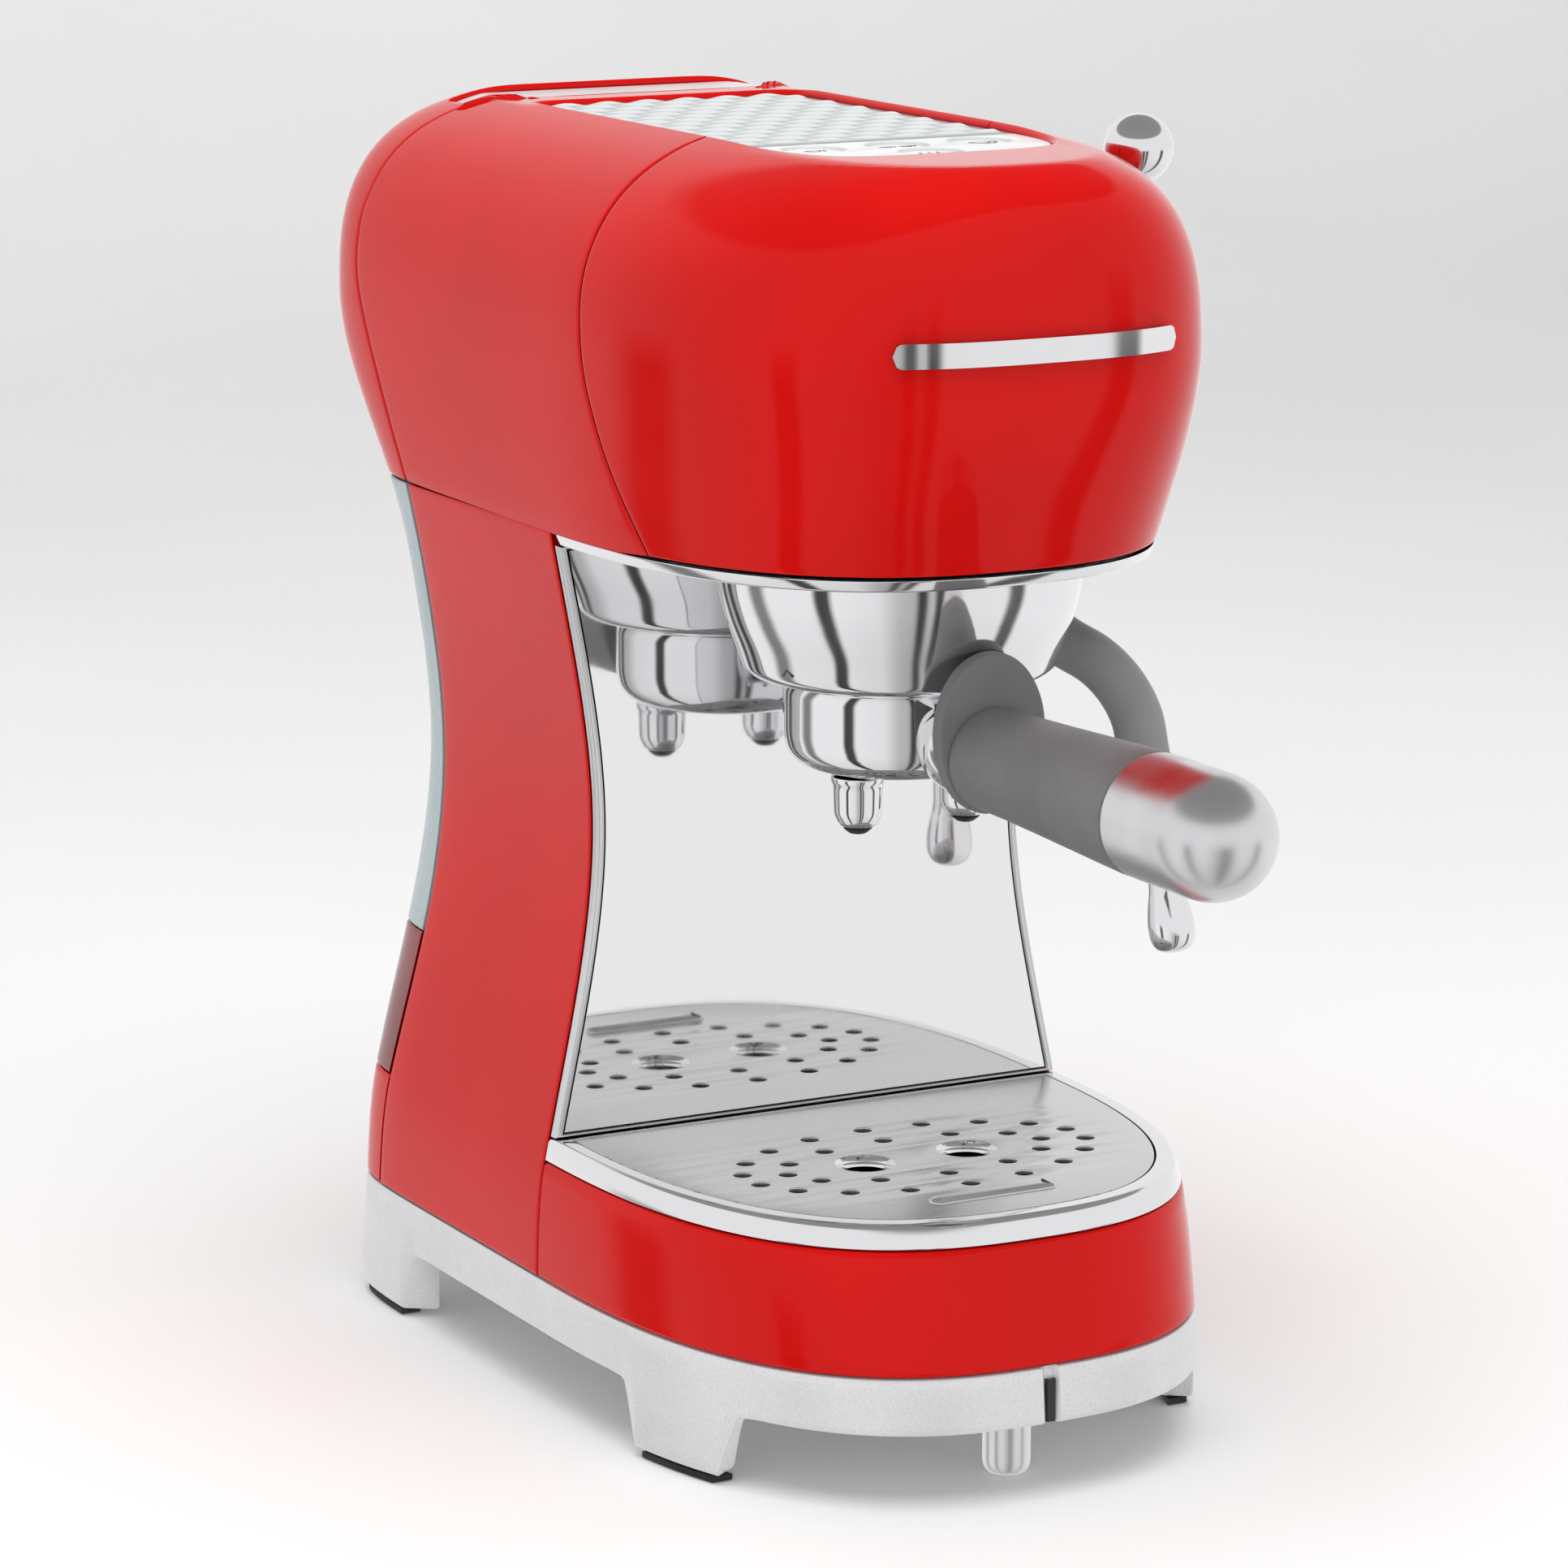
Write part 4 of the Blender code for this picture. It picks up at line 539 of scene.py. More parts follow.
def finish(name, constants, patterns):
    """A material with one Principled shader, whose constant values sit on its own sockets.  Each pattern
    is a texture with features of a size in mm, finer along the axes where stretch is large.  It runs
    the sockets in its spans from one value to another, and tilts the surface over its depth in mm."""
    material = bpy.data.materials.new(name)
    material.use_nodes = True
    tree = material.node_tree
    shader = tree.nodes["Principled BSDF"]
    for key, value in constants.items():
        shader.inputs[key].default_value = value
    place = add(tree, "ShaderNodeTexCoord").outputs["Object"]
    for pattern in patterns:
        if "attribute" in pattern:
            value = add(tree, "ShaderNodeAttribute", attribute_name=pattern["attribute"]).outputs["Fac"]
        else:
            mapped = add(tree, "ShaderNodeMapping", [("Vector", place)],
                         [("Scale", pattern.get("stretch", EVEN))])
            sockets = [("Scale", per_mm(pattern["size"])), ("Detail", pattern.get("detail", 2.0))]
            value = add(tree, pattern.get("kind", "ShaderNodeTexNoise"),
                        [("Vector", mapped.outputs["Vector"])],
                        sockets).outputs[0]
        for socket, low, high, *ends in pattern.get("spans", ()):
            low_at, high_at = ends or (0.35, 0.65)
            shade = add(tree, "ShaderNodeValToRGB", [("Fac", value)], stops=[(low_at, low), (high_at, high)])
            tree.links.new(shade.outputs["Color"], shader.inputs[socket])
        if "depth" in pattern:
            tilt = add(tree, "ShaderNodeBump", [("Height", value)],
                       [("Distance", pattern["depth"] / 1000.0), ("Strength", pattern["strength"])])
            tree.links.new(tilt.outputs["Normal"], shader.inputs["Normal"])
    return material


def lacquer(name, pale, deep):
    """Moulded ABS under high-gloss lacquer: an even deep colour, with the faint orange peel that
    sprayed lacquer sets with, and slow drifts of shade where the coat is thicker."""
    return finish(name, {"Roughness": 0.08, "Specular IOR Level": 0.15, "IOR": 1.5}, [
        {"size": 55.0, "detail": 1.0, "spans": [("Base Color", linear(deep), linear(pale))]},
        {"size": 9.0, "detail": 3.0, "spans": [("Roughness", grey(0.05), grey(0.09))]},
        {"size": 2.6, "depth": 0.003, "strength": 0.3}])


def chrome_plate(name, tint, smooth, cloudy):
    """Polished part with bright chromium plating: a clear mirror, broken only by wiped smears of
    slightly higher roughness and the low waves that polishing leaves."""
    return finish(name, {"Metallic": 1.0, "Base Color": linear(tint)}, [
        {"size": 11.0, "detail": 3.0, "stretch": (1.0, 1.0, 0.45),
         "spans": [("Roughness", grey(smooth), grey(cloudy))]},
        {"size": 16.0, "detail": 1.0, "depth": 0.010, "strength": 0.25}])


def brushed(name, pale, deep, stretch, roughness=(0.24, 0.36), grit_mm=0.55):
    """Stainless steel drawn over a fine belt: parallel scratches much longer than they are wide.
    Real scratches are about 0.05 mm apart; here they are drawn coarser so that they show."""
    return finish(name, {"Metallic": 0.85}, [
        {"size": grit_mm, "detail": 3.0, "stretch": stretch, "depth": 0.002, "strength": 0.25,
         "spans": [("Base Color", linear(deep), linear(pale)),
                   ("Roughness", grey(roughness[0]), grey(roughness[1]))]}])


def moulded(name, pale, deep, roughness, grain_mm, depth_mm, metallic=0.0, coat=0.0):
    """Moulded plastic from a spark-eroded tool: an even pebble grain of this size and depth, a little
    duller on its peaks, over slow drifts of shade."""
    return finish(name, {"Metallic": metallic, "Coat Weight": coat, "Coat Roughness": 0.15}, [
        {"size": 30.0, "spans": [("Base Color", linear(deep), linear(pale))]},
        {"size": grain_mm, "depth": depth_mm, "strength": 0.6,
         "spans": [("Roughness", grey(roughness - 0.05), grey(roughness + 0.05))]}])


def clear_moulding(name, pale, deep, see_through, roughness):
    """Tinted SAN or ABS moulding that lets light in but hides what is behind it: a share of the
    light goes through a cloudy body, and the surface keeps a soft gloss."""
    return finish(name, {"Transmission Weight": see_through, "IOR": 1.49}, [
        {"size": 35.0, "stretch": (1.0, 1.0, 0.35), "spans": [("Base Color", linear(deep), linear(pale))]},
        {"size": 4.0, "stretch": (1.0, 1.0, 0.3), "depth": 0.008, "strength": 0.3,
         "spans": [("Roughness", grey(roughness), grey(roughness + 0.08))]}])


def flake_paint(name, pale, deep):
    """Silver paint on moulded ABS: aluminium flakes in a clear satin binder.  Each flake is 0.03 mm;
    they are drawn 0.5 mm wide so that the sparkle shows."""
    return finish(name, {"Metallic": 0.30, "Coat Weight": 0.20, "Coat Roughness": 0.25}, [
        {"kind": "ShaderNodeTexVoronoi", "size": 0.5, "detail": 0.0, "depth": 0.004, "strength": 0.3,
         "spans": [("Base Color", linear(pale), linear(deep), 0.0, 1.0)]},
        {"size": 8.0, "spans": [("Roughness", grey(0.34), grey(0.44))]}])


def embossed_paint_valley_shade(name, hill, valley_shade):
    """Light silver paint over embossed pillows: the sprayed coat is thinner and duller down in the
    valleys, so they read as soft grey lines between near-white tops."""
    return finish(name, {"Coat Weight": 0.15, "Coat Roughness": 0.2}, [
        {"attribute": "relief", "spans": [("Base Color", linear(valley_shade), linear(hill), 0.02, 0.62)]},
        {"size": 6.0, "spans": [("Roughness", grey(0.36), grey(0.46))]},
        {"size": 0.8, "depth": 0.003, "strength": 0.4}])


def rubber_finish(name, pale, deep):
    """Black moulded rubber: very rough, with a bloom of lighter dust in its fine grain."""
    return moulded(name, pale, deep, 0.85, 0.6, 0.03)


FINISHES = {}


def make_finishes(look):
    """Every finish of the machine, by its slot name."""
    FINISHES.update({
        "red_enamel": lacquer("red_high_gloss_lacquer_on_abs", look.body_red, look.body_red_deep),
        "silver_plastic": flake_paint("silver_flake_paint_on_abs", "#E6E6E7", "#D2D2D4"),
        "chrome": chrome_plate("bright_chrome_plate_polished", "#E6E6E8", 0.05, 0.10),
        "satin_chrome": chrome_plate("satin_chrome_plate_blasted", "#DCDCDE", 0.27, 0.34),
        "brushed_steel": brushed("stainless_steel_belt_brushed", "#D6D6D6", "#D0D0D0", (0.06, 1.0, 1.0),
                                 (0.22, 0.28)),
        "mirror_steel": chrome_plate("stainless_steel_mirror_polished", "#EDEDEE", 0.025, 0.05),
        "grip_grey": moulded("soft_touch_grey_thermoplastic_moulded", "#6E6E6F", "#626263", 0.47, 0.7, 0.02),
        "wand_grey": moulded("silicone_rubber_sleeve_moulded", "#8A8A8B", "#7C7C7D", 0.50, 0.7, 0.02),
        "tank_smoke": clear_moulding("grey_blue_san_plastic_moulded", "#B4C4C8", "#9FB1B6", 0.12, 0.22),
        "tank_red": clear_moulding("dark_red_clear_plastic_moulded", "#8E1014", "#6A090C", 0.15, 0.12),
        "panel_silver": moulded("light_silver_painted_abs_moulded", "#EFF0F0", "#E4E6E6", 0.40, 0.8, 0.006,
                                0.0, 0.2),
        # The second colour, #8F9698, is painted shade for the valleys of the embossed field.
        "embossed_silver": embossed_paint_valley_shade("light_silver_paint_on_embossed_abs_valley_shade", "#D6D9D9", "#8F9698"),
        "lid_grey": moulded("pearl_grey_abs_moulded", "#D8DBDB", "#CBCFD0", 0.35, 0.8, 0.010, 0.0, 0.2),
        "black_plastic": moulded("black_glass_filled_nylon_moulded", "#2B2B2D", "#202022", 0.50, 0.7, 0.03),
        "rubber": rubber_finish("black_nitrile_rubber_moulded", "#303030", "#232323"),
        "zinc_steel": brushed("zinc_plated_steel_rolled", "#BFC3C6", "#A3A8AC", (1.0, 0.15, 1.0),
                              (0.30, 0.48), 1.6),
        "brass": brushed("brass_machined_from_bar", "#C9A458", "#B08B42", (1.0, 1.0, 0.1), (0.20, 0.35), 0.6),
        "silicone": moulded("white_silicone_rubber_extruded", "#E2DFDA", "#D3D0CA", 0.55, 1.0, 0.01),
        "board_green": moulded("glass_epoxy_board_green_resist", "#2F7A4E", "#1F5C39", 0.35, 0.9, 0.01, 0.0,
                               0.4),
        "icon_grey": moulded("pad_printed_ink_grey", "#5A5D60", "#4C4F52", 0.55, 0.5, 0.002),
    })


# ---------------------------------------------------------------- base and feet
def hem_height(y):
    """Lower edge of the base: level between the feet, then down each foot's flared end to its pad."""
    outside = np.full(np.shape(y), 1.0)
    for start, end in (FRONT_FEET_Y, REAR_FEET_Y):
        outside = np.minimum(outside, np.maximum(np.maximum(start - y, y - end), 0.0))
    curve = rounded([(-0.01, FOOT_LOW_Z, 0), (0.0, FOOT_LOW_Z, 0.0012), (0.0031, 0.0110, 0.004),
                     (0.0062, BASE_LOW_Z, 0.0030), (0.02, BASE_LOW_Z, 0)], 0.001, 6)
    return np.interp(outside, curve[:, 0], curve[:, 1])


def base_surface():
    """Ring wall whose lower edge follows the hem, closed by a deck above and by an inner wall."""
    tip = np.linspace(-np.pi / 2, turn_at(np.array(-0.106), np.array(BASE_LOW_Z)), 46)
    ends = [edge for span in (FRONT_FEET_Y, REAR_FEET_Y) for edge in (span[0] - 0.0075, span[0] + 0.001,
                                                                      span[1] - 0.001, span[1] + 0.0075)]
    depths = [np.linspace(-0.106, ends[0], 8)]
    for i, (start, end) in enumerate(zip(ends, ends[1:])):
        depths.append(np.linspace(start, end, 26 if i % 2 == 0 else (22 if i == 3 else 9))[1:])
    depths.append(np.linspace(ends[-1], 0.1245, 4)[1:])
    side = turn_at(np.unique(np.concatenate(depths)), np.array(BASE_LOW_Z))
    turn = np.concatenate([tip, side[side > tip[-1] + 1e-6], np.linspace(side[-1], np.pi / 2, 60)[1:]])
    turn = np.concatenate([turn, turn[-2:0:-1]])
    hand = np.concatenate([np.ones(len(turn) // 2 + 1), -np.ones(len(turn) - len(turn) // 2 - 1)])
    depth = skin(turn, np.array(BASE_LOW_Z))[:, 1]
    hem = hem_height(depth)
    foot = np.clip((BASE_LOW_Z - hem) / (BASE_LOW_Z - FOOT_LOW_Z), 0.0, 1.0)
    wall = 0.0040 + 0.0040 * foot
    deck_low = BASE_HIGH_Z - 0.0026
    inset, height = [], []

    def row(extra, z):
        inset.append(extra + 0.0 * hem)
        height.append(z + 0.0 * hem)

    row(0.0160, BASE_HIGH_Z)
    row(0.0012, BASE_HIGH_Z)
    row(0.0003, BASE_HIGH_Z - 0.0003)
    row(0.0, BASE_HIGH_Z - 0.0010)
    for share in np.linspace(0.12, 1.0, 9):
        row(-0.0010 * foot * min(1.0, share * 1.6),
            BASE_HIGH_Z - 0.0010 + (hem + 0.0010 - BASE_HIGH_Z + 0.0010) * share)
    row(-0.0010 * foot + 0.0003, hem + 0.0003)
    row(-0.0010 * foot + 0.0010, hem)
    row(wall - 0.0006, hem)
    row(wall, hem + 0.0006)
    row(wall, deck_low)
    row(0.0160, deck_low)
    points = skin(turn, np.array(height), np.array(inset))
    points[..., 0] *= hand
    slot = np.exp(-(np.abs(points[..., 0]) / 0.0016) ** 10) * (points[..., 1] < 0)
    outer = (np.array(inset) < 0.0030) & (np.array(height) < BASE_HIGH_Z - 0.0001)
    points[..., 1] += 0.0016 * slot * outer
    return grid(points, wrap_columns=True, cap_first=True, cap_last=True)


def make_base():
    base = make_object("base_shell", [base_surface()])
    deliver(base, "machine", "silver_plastic", FINISHES["silver_plastic"], "base_frame")
    low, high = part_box("base_slot_strip")
    y = low.y - SPLASH_Y
    strip = [[(x, y + 0.0011 * (abs(x) > 0.0012), z) for x in (-0.0013, -0.0011, 0.0, 0.0011, 0.0013)]
             for z in np.linspace(low.z, high.z, 5)]
    piece = make_object("base_front_slit", [grid(strip)], (0.0, 0.0, 0.025))
    add_modifier(piece, "SOLIDIFY", "wall", thickness=0.0007, offset=-1.0)
    deliver(piece, "machine", "black_plastic", FINISHES["black_plastic"], "base_slot_strip")
    low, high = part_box("front_foot")
    radius = (high.x - low.x) / 2
    foot = make_object("front_support_foot", [lathe(
        [(0.0, high.z, 0), (radius, high.z, 0), (radius, 0.0030, 0.001), (radius - 0.0004, 0.0012, 0.001),
         (radius - 0.0016, 0.0, 0.001), (0.0, 0.0, 0)], (0.0, FRONT_FOOT_Y, 0.0))])
    deliver(foot, "machine", "chrome", FINISHES["satin_chrome"], "front_foot")


# ---------------------------------------------------------------- drip tray
def make_tray():
    back = TRAY_BACK_Y
    low, high = BASE_HIGH_Z + GAP, TRAY_HIGH_Z
    shell = make_object("tray_front_shell", [stack(
        [(0.0006, low, 0), (0.0, low + 0.0006, 0.0004), (0.0, high - 0.0008, 0),
         (0.0005, high - 0.0001, 0.0005),
         (0.0012, high, 0), (SHELL_WALL, high, 0.0003), (SHELL_WALL, low + SHELL_WALL, 0)],
        y_back=lambda z: back + 0 * z, step=0.003)])
    round_edges(shell, 0.0004)
    deliver(shell, "tray", "red_enamel", FINISHES["red_enamel"], "tray_shell")
    rim_low = high + GAP
    rim = make_object("tray_bright_rim", [stack(
        [(0.0, rim_low, 0.0004), (0.0, RIM_HIGH_Z - 0.0007, 0.0005), (0.0007, RIM_HIGH_Z, 0.0006),
         (0.0044, RIM_HIGH_Z, 0.0003), (0.0044, rim_low, 0.0003)],
        y_back=lambda z: back + 0 * z, step=0.0016, closed=True, along=150)])
    deliver(rim, "tray", "chrome", FINISHES["chrome"], "tray_rim")
    tub_low, tub_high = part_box("tray_tub")
    tub = make_object("tray_inner_tub", [stack(
        [(0.0050, tub_low.z, 0.0), (0.0050, tub_high.z, 0.0004), (0.0066, tub_high.z, 0.0004),
         (0.0066, tub_low.z + 0.0016, 0.004), (0.0120, tub_low.z + 0.0016, 0)],
        y_back=lambda z: back + 0 * z, step=0.005)])
    deliver(tub, "tray", "black_plastic", FINISHES["black_plastic"], "tray_tub")


def make_grille():
    inset = 0.0044 + GAP
    outline = loops([RIM_HIGH_Z], inset, None, TRAY_BACK_Y - inset, along=130)[0, :, :2]
    rings = [outline]
    for count, reach_x, reach_y in ((18, 0.0476, 0.0280), (12, 0.0366, 0.0170)):
        for angle in 2 * np.pi * np.arange(count) / count + np.pi / 2:
            spot = (reach_x * math.cos(angle), GRILLE_CENTRE_Y + reach_y * math.sin(angle))
            rings.append(ring_points(spot, 0.0024, 24))
    for sign in (-1, 1):
        rings.append(ring_points((sign * 0.0147, GRILLE_CENTRE_Y), 0.0078, 48))
    low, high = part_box("drip_grille")
    sheet = flat_outline("drip_grille_plate", rings, low.z, high.z, 0.00025)
    deliver(sheet, "grille", "brushed_steel", FINISHES["brushed_steel"], "drip_grille")
    dished = [lathe([(0.0079, high.z - 0.0002, 0.0003), (0.0078, high.z + 0.00002, 0.0003),
                     (0.0068, high.z - 0.0010, 0.0012),
                     (0.0063, low.z - 0.0012, 0.0006), (0.0059, low.z - 0.0012, 0.0002),
                     (0.0064, low.z, 0.0008),
                     (0.0076, low.z + 0.0002, 0.0004)],
                    (sign * 0.0147, GRILLE_CENTRE_Y, 0.0), around=72, step=0.0006,
                    closed=True) for sign in (-1, 1)]
    cups = make_object("grille_pressed_cups", dished)
    deliver(cups, "grille", "brushed_steel", FINISHES["chrome"])
    share = np.linspace(0, 1, 10)
    angle = np.linspace(0, 2 * np.pi, 48, endpoint=False)
    reach = 0.0028 * np.cos(share * np.pi / 2)[:, None]
    x = reach * np.cos(angle) + np.sign(np.cos(angle)) * 0.0152
    y = PULL_Y + reach * np.sin(angle)
    rise = high.z - 0.0001 + 0.0014 * np.sin(share * np.pi / 2)[:, None] + 0 * x
    points = np.stack([x, y, rise], axis=-1)[:-1]
    foot = points[:1] - (0.0, 0.0, 0.0008)
    ridge = make_object("grille_finger_pull", [grid(np.concatenate([foot, points]), wrap_columns=True,
                                                    cap_first=True, cap_last=True)])
    deliver(ridge, "grille", "brushed_steel", FINISHES["brushed_steel"])
    # A thin black disc at the right end of the pull stands in for its opening: it paints the dark seen in the
    # hole, the shade inside it over the black tub below, as one flat colour.
    mouth = lathe([(0.0, -0.0002, 0), (0.0017, -0.0002, 0), (0.0017, 0.0002, 0), (0.0, 0.0002, 0)],
                  (0.0158, PULL_Y + 0.0004, high.z + 0.00085), (0.45, 0.0, 1.0), 32)
    dark = make_object("grille_finger_pull_mouth_shade_disc", [mouth])
    deliver(dark, "grille", "brushed_steel", FINISHES["black_plastic"])


# ---------------------------------------------------------------- column
def make_column():
    low_z, high_z = BASE_HIGH_Z + GAP, HEAD_LOW_Z - GAP
    z = low_z + (high_z - low_z) * with_fine_ends(120, 0.004)
    start = turn_at(np.full(z.shape, COLUMN_FRONT_Y), z)
    end = turn_at(eased_seam(z, REAR_SEAM) - SEAM_GAP / 2, z)
    turn = start[:, None] + (end - start)[:, None] * with_fine_ends(60, 0.008)
    side = roll_borders(skin(turn, z[:, None]))
    for name, sign in (("left", -1.0), ("right", 1.0)):
        panel = make_object(f"column_side_{name}", [grid(side * (sign, 1.0, 1.0))], (0.0, 0.05, 0.13))
        add_wall(panel, SHELL_WALL)
        deliver(panel, "machine", "red_enamel", FINISHES["red_enamel"], f"side_panel_{name}")
    low_z, high_z = 0.0706 - 0.0008, TRIM_LOW_Z - GAP
    frame_z = np.linspace(low_z, high_z, 90)
    frame_x = reaches(frame_z, 0.0006)[0]
    outer = np.concatenate([np.c_[frame_x, frame_z], np.c_[-frame_x, frame_z][::-1]])
    inner_z = np.linspace(low_z + 0.0008, high_z - 0.0008, 90)
    inner_x = reaches(inner_z, 0.0027)[0]
    inner = np.concatenate([np.c_[inner_x, inner_z], np.c_[-inner_x, inner_z][::-1]])
    back = COLUMN_FRONT_Y - GAP
    rings = []
    for mix, y in ((0.0, back), (0.0, 0.0005), (0.10, 0.00015), (0.25, 0.0), (0.75, 0.0), (0.90, 0.00015),
                   (1.0, 0.0005), (1.0, back)):
        ring = outer + (inner - outer) * mix
        rings.append(np.c_[ring[:, 0], np.full(len(ring), y), ring[:, 1]])
    edge = make_object("backsplash_bright_edge", [grid(np.array(rings), wrap_rows=True, wrap_columns=True)])
    deliver(edge, "machine", "chrome", FINISHES["satin_chrome"], "backsplash_frame")
    plate_z = np.linspace(low_z + 0.0008 + GAP, high_z - 0.0008 - GAP, 90)
    plate_x = reaches(plate_z, 0.0027 + GAP)[0]
    outline = np.concatenate([np.c_[plate_x, plate_z], np.c_[-plate_x, plate_z][::-1]])
    faces = [np.c_[outline[:, 0], np.full(len(outline), y), outline[:, 1]] for y in (GAP, GAP + 0.002)]
    mirror = make_object("backsplash_mirror",
                         [grid(np.array(faces), wrap_columns=True, cap_first=True, cap_last=True)])
    mirror.data.set_sharp_from_angle(angle=math.radians(20))
    deliver(mirror, "machine", "mirror_steel", FINISHES["mirror_steel"], "backsplash")


def rear_edge(extra):
    return lambda z: eased_seam(z, REAR_SEAM) + SEAM_GAP + extra


def make_rear():
    low, high = BASE_HIGH_Z + GAP, TRAY_HIGH_Z
    skirt = make_object("rear_lower_skirt", [stack(
        [(0.0005, low, 0), (0.0, low + 0.0006, 0.0004), (0.0, high - 0.0006, 0.0004), (0.0006, high, 0.0003),
         (SHELL_WALL, high, 0.0002), (SHELL_WALL, low + SHELL_WALL, 0)],
        y_front=rear_edge(-0.0002), step=0.004)])
    deliver(skirt, "machine", "red_enamel", FINISHES["red_enamel"], "rear_skirt")
    cup_low = TRAY_HIGH_Z + GAP
    cup = make_object("tank_lower_cup", [stack(
        [(0.0006, cup_low, 0), (0.0, cup_low + 0.0006, 0.0004), (0.0, CUP_HIGH_Z - 0.0004, 0.0003),
         (0.0004, CUP_HIGH_Z, 0.0002), (0.0020, CUP_HIGH_Z, 0.0002), (0.0020, cup_low + 0.0020, 0)],
        y_front=rear_edge(0.0004), step=0.004)])
    deliver(cup, "tank", "tank_red", FINISHES["tank_red"], "tank_cup")
    top = 0.2992
    seen_low, seen_high = CUP_HIGH_Z + GAP, HEAD_LOW_Z - GAP
    vessel = make_object("tank_clear_vessel", [stack(
        [(0.0026, cup_low + 0.0026, 0.0), (0.0026, seen_low - 0.0001, 0), (0.0004, seen_low, 0),
         (0.0, seen_low + 0.0005, 0.0003), (0.0, seen_high - 0.0005, 0.0003), (0.0004, seen_high, 0),
         (0.0050, seen_high + 0.0001, 0), (0.0050, top, 0.0004), (0.0068, top, 0.0004),
         (0.0068, seen_high - 0.002, 0.002),
         (0.0018, seen_high - 0.006, 0.002), (0.0018, seen_low + 0.004, 0.002), (0.0044, seen_low, 0.002),
         (0.0044, cup_low + 0.0044, 0)],
        y_front=rear_edge(0.0004), step=0.004)])
    deliver(vessel, "tank", "tank_smoke", FINISHES["tank_smoke"], "water_tank")


# ---------------------------------------------------------------- head
def panel_edge(angle, grow=0.0):
    """Outline of the top panel, as a point for each direction from its centre: a superellipse with
    exponent 4 in front and 16 behind."""
    n = np.where(angle < 0, 4.0, 16.0)
    p, q = np.abs(np.cos(angle)), np.abs(np.sin(angle))
    ray = (p**n + q**n) ** (-1 / n)
    front = PANEL_CENTRE_Y - PANEL_FRONT_Y + grow
    back = PANEL_BACK_Y - PANEL_CENTRE_Y + grow
    x = (PANEL_HALF_WIDTH + grow) * ray * np.cos(angle)
    return x, PANEL_CENTRE_Y + np.where(angle < 0, -front, back) * ray * q


def as_turn_climb(x, y):
    """A crown point over (x, y) as its plan direction and its climb."""
    z = crown_height(x, y)
    width, front, back, _ = reaches(z, 0.0)
    return np.arctan2(np.where(y < 0, y / front, y / back), np.abs(x) / width), climb(z)


def well_rows(edge_points, angle, depth_to):
    """Rows that carry a crown edge round a small lip and straight down to the panel."""
    here = np.stack(panel_edge(angle, 0.0012), axis=-1)
    there = np.stack(panel_edge(angle, 0.0), axis=-1)
    inwards = there - here
    rows = []
    for bend in np.radians((18, 36, 54, 72, 90)):
        row = edge_points.copy()
        row[:, :2] += inwards * math.sin(bend)
        row[:, 2] -= 0.0010 * (1 - math.cos(bend)) + 0.0004 * math.sin(bend)
        rows.append(row)
    last = rows[-1]
    for share in np.linspace(0, 1, 6)[1:]:
        row = last.copy()
        row[:, 2] = last[:, 2] + (depth_to - last[:, 2]) * share
        rows.append(row)
    return rows


WELL_LOW_Z = 0.3222
PRESS_ROUND = 0.0006
LIP = 0.0012
HEAD_CENTRE = (0.0, 0.01, 0.26)
LID_GAP = 0.0008
LID_CORNER = 0.0022
LID_CUT_Z = (0.300, 0.340)


def angle_at_seam():
    """Direction from the panel's centre of the point where the front seam meets its edge."""
    q = (PANEL_CENTRE_Y - FRONT_SEAM[-1][1]) / (PANEL_CENTRE_Y - PANEL_FRONT_Y + LIP)
    return -math.atan2(q, (1 - q**4) ** 0.25)


def eased(value):
    """Smooth step: 0 below 0, 1 above 1, and 3v^2 - 2v^3 in between."""
    value = np.clip(value, 0.0, 1.0)
    return value * value * (3 - 2 * value)


def pressed(points, share, level):
    """Heights over the level come down to it by the share; a rounded corner (the mean of the height
    over the level and its root with a small square) keeps the join from creasing."""
    over = points[..., 2] - level
    over = (over + np.sqrt(over * over + PRESS_ROUND**2) - PRESS_ROUND) / 2
    out = points.copy()
    out[..., 2] -= share * np.maximum(over, 0.0)
    return out


def shelved(points):
    """Low rims of the top: the crown behind the panel comes down to the shelf that the lid lies in, and
    the rim in front of the buttons comes down to just over the panel."""
    x, y = np.abs(points[..., 0]), points[..., 1]
    back = eased((y - 0.0700) / 0.0140) * eased((0.1176 - y) / 0.0060)
    front = eased((0.0560 - x) / 0.0260) * eased((-0.0300 - y) / 0.0300)
    return pressed(pressed(points, back, SHELF_Z), front, PANEL_TOP_Z + 0.0006)


def front_shell_surface(columns=181, rows=80):
    """Front of the head: from the lower edge up to the panel's edge, and from seam to seam."""
    across = with_fine_ends(columns, 0.005) * 2 - 1
    s, side = np.abs(across), np.sign(across)
    angle = -np.pi / 2 + s * (angle_at_seam() - 0.004 + np.pi / 2)
    turn_top, climb_top = as_turn_climb(*panel_edge(angle, LIP))
    turn_top = np.where(s < 1e-9, -np.pi / 2, turn_top)
    low = np.array(HEAD_LOW_Z + GAP)
    seam_low = turn_at(eased_seam(low, FRONT_SEAM) - SEAM_GAP / 2, low)
    turn_low = -np.pi / 2 + s * (seam_low + np.pi / 2)
    v = with_fine_ends(rows, 0.006)[:, None]
    w = climb(low) + v * (climb_top - climb(low))
    turn = turn_low + v * (turn_top - turn_low)
    z = height_of(w)
    wanted = turn_at(eased_seam(z[:, :1], FRONT_SEAM) - SEAM_GAP / 2, z[:, :1])
    turn = turn + s**2 * (wanted - turn[:, :1])
    points = shelved(skin(turn, z))
    mirror = np.stack([side, np.ones(columns), np.ones(columns)], axis=-1)
    well = np.array(well_rows(points[-1], angle, WELL_LOW_Z)) * mirror
    points = roll_borders(points * mirror, last_row=False)
    return grid(np.concatenate([points, well]))


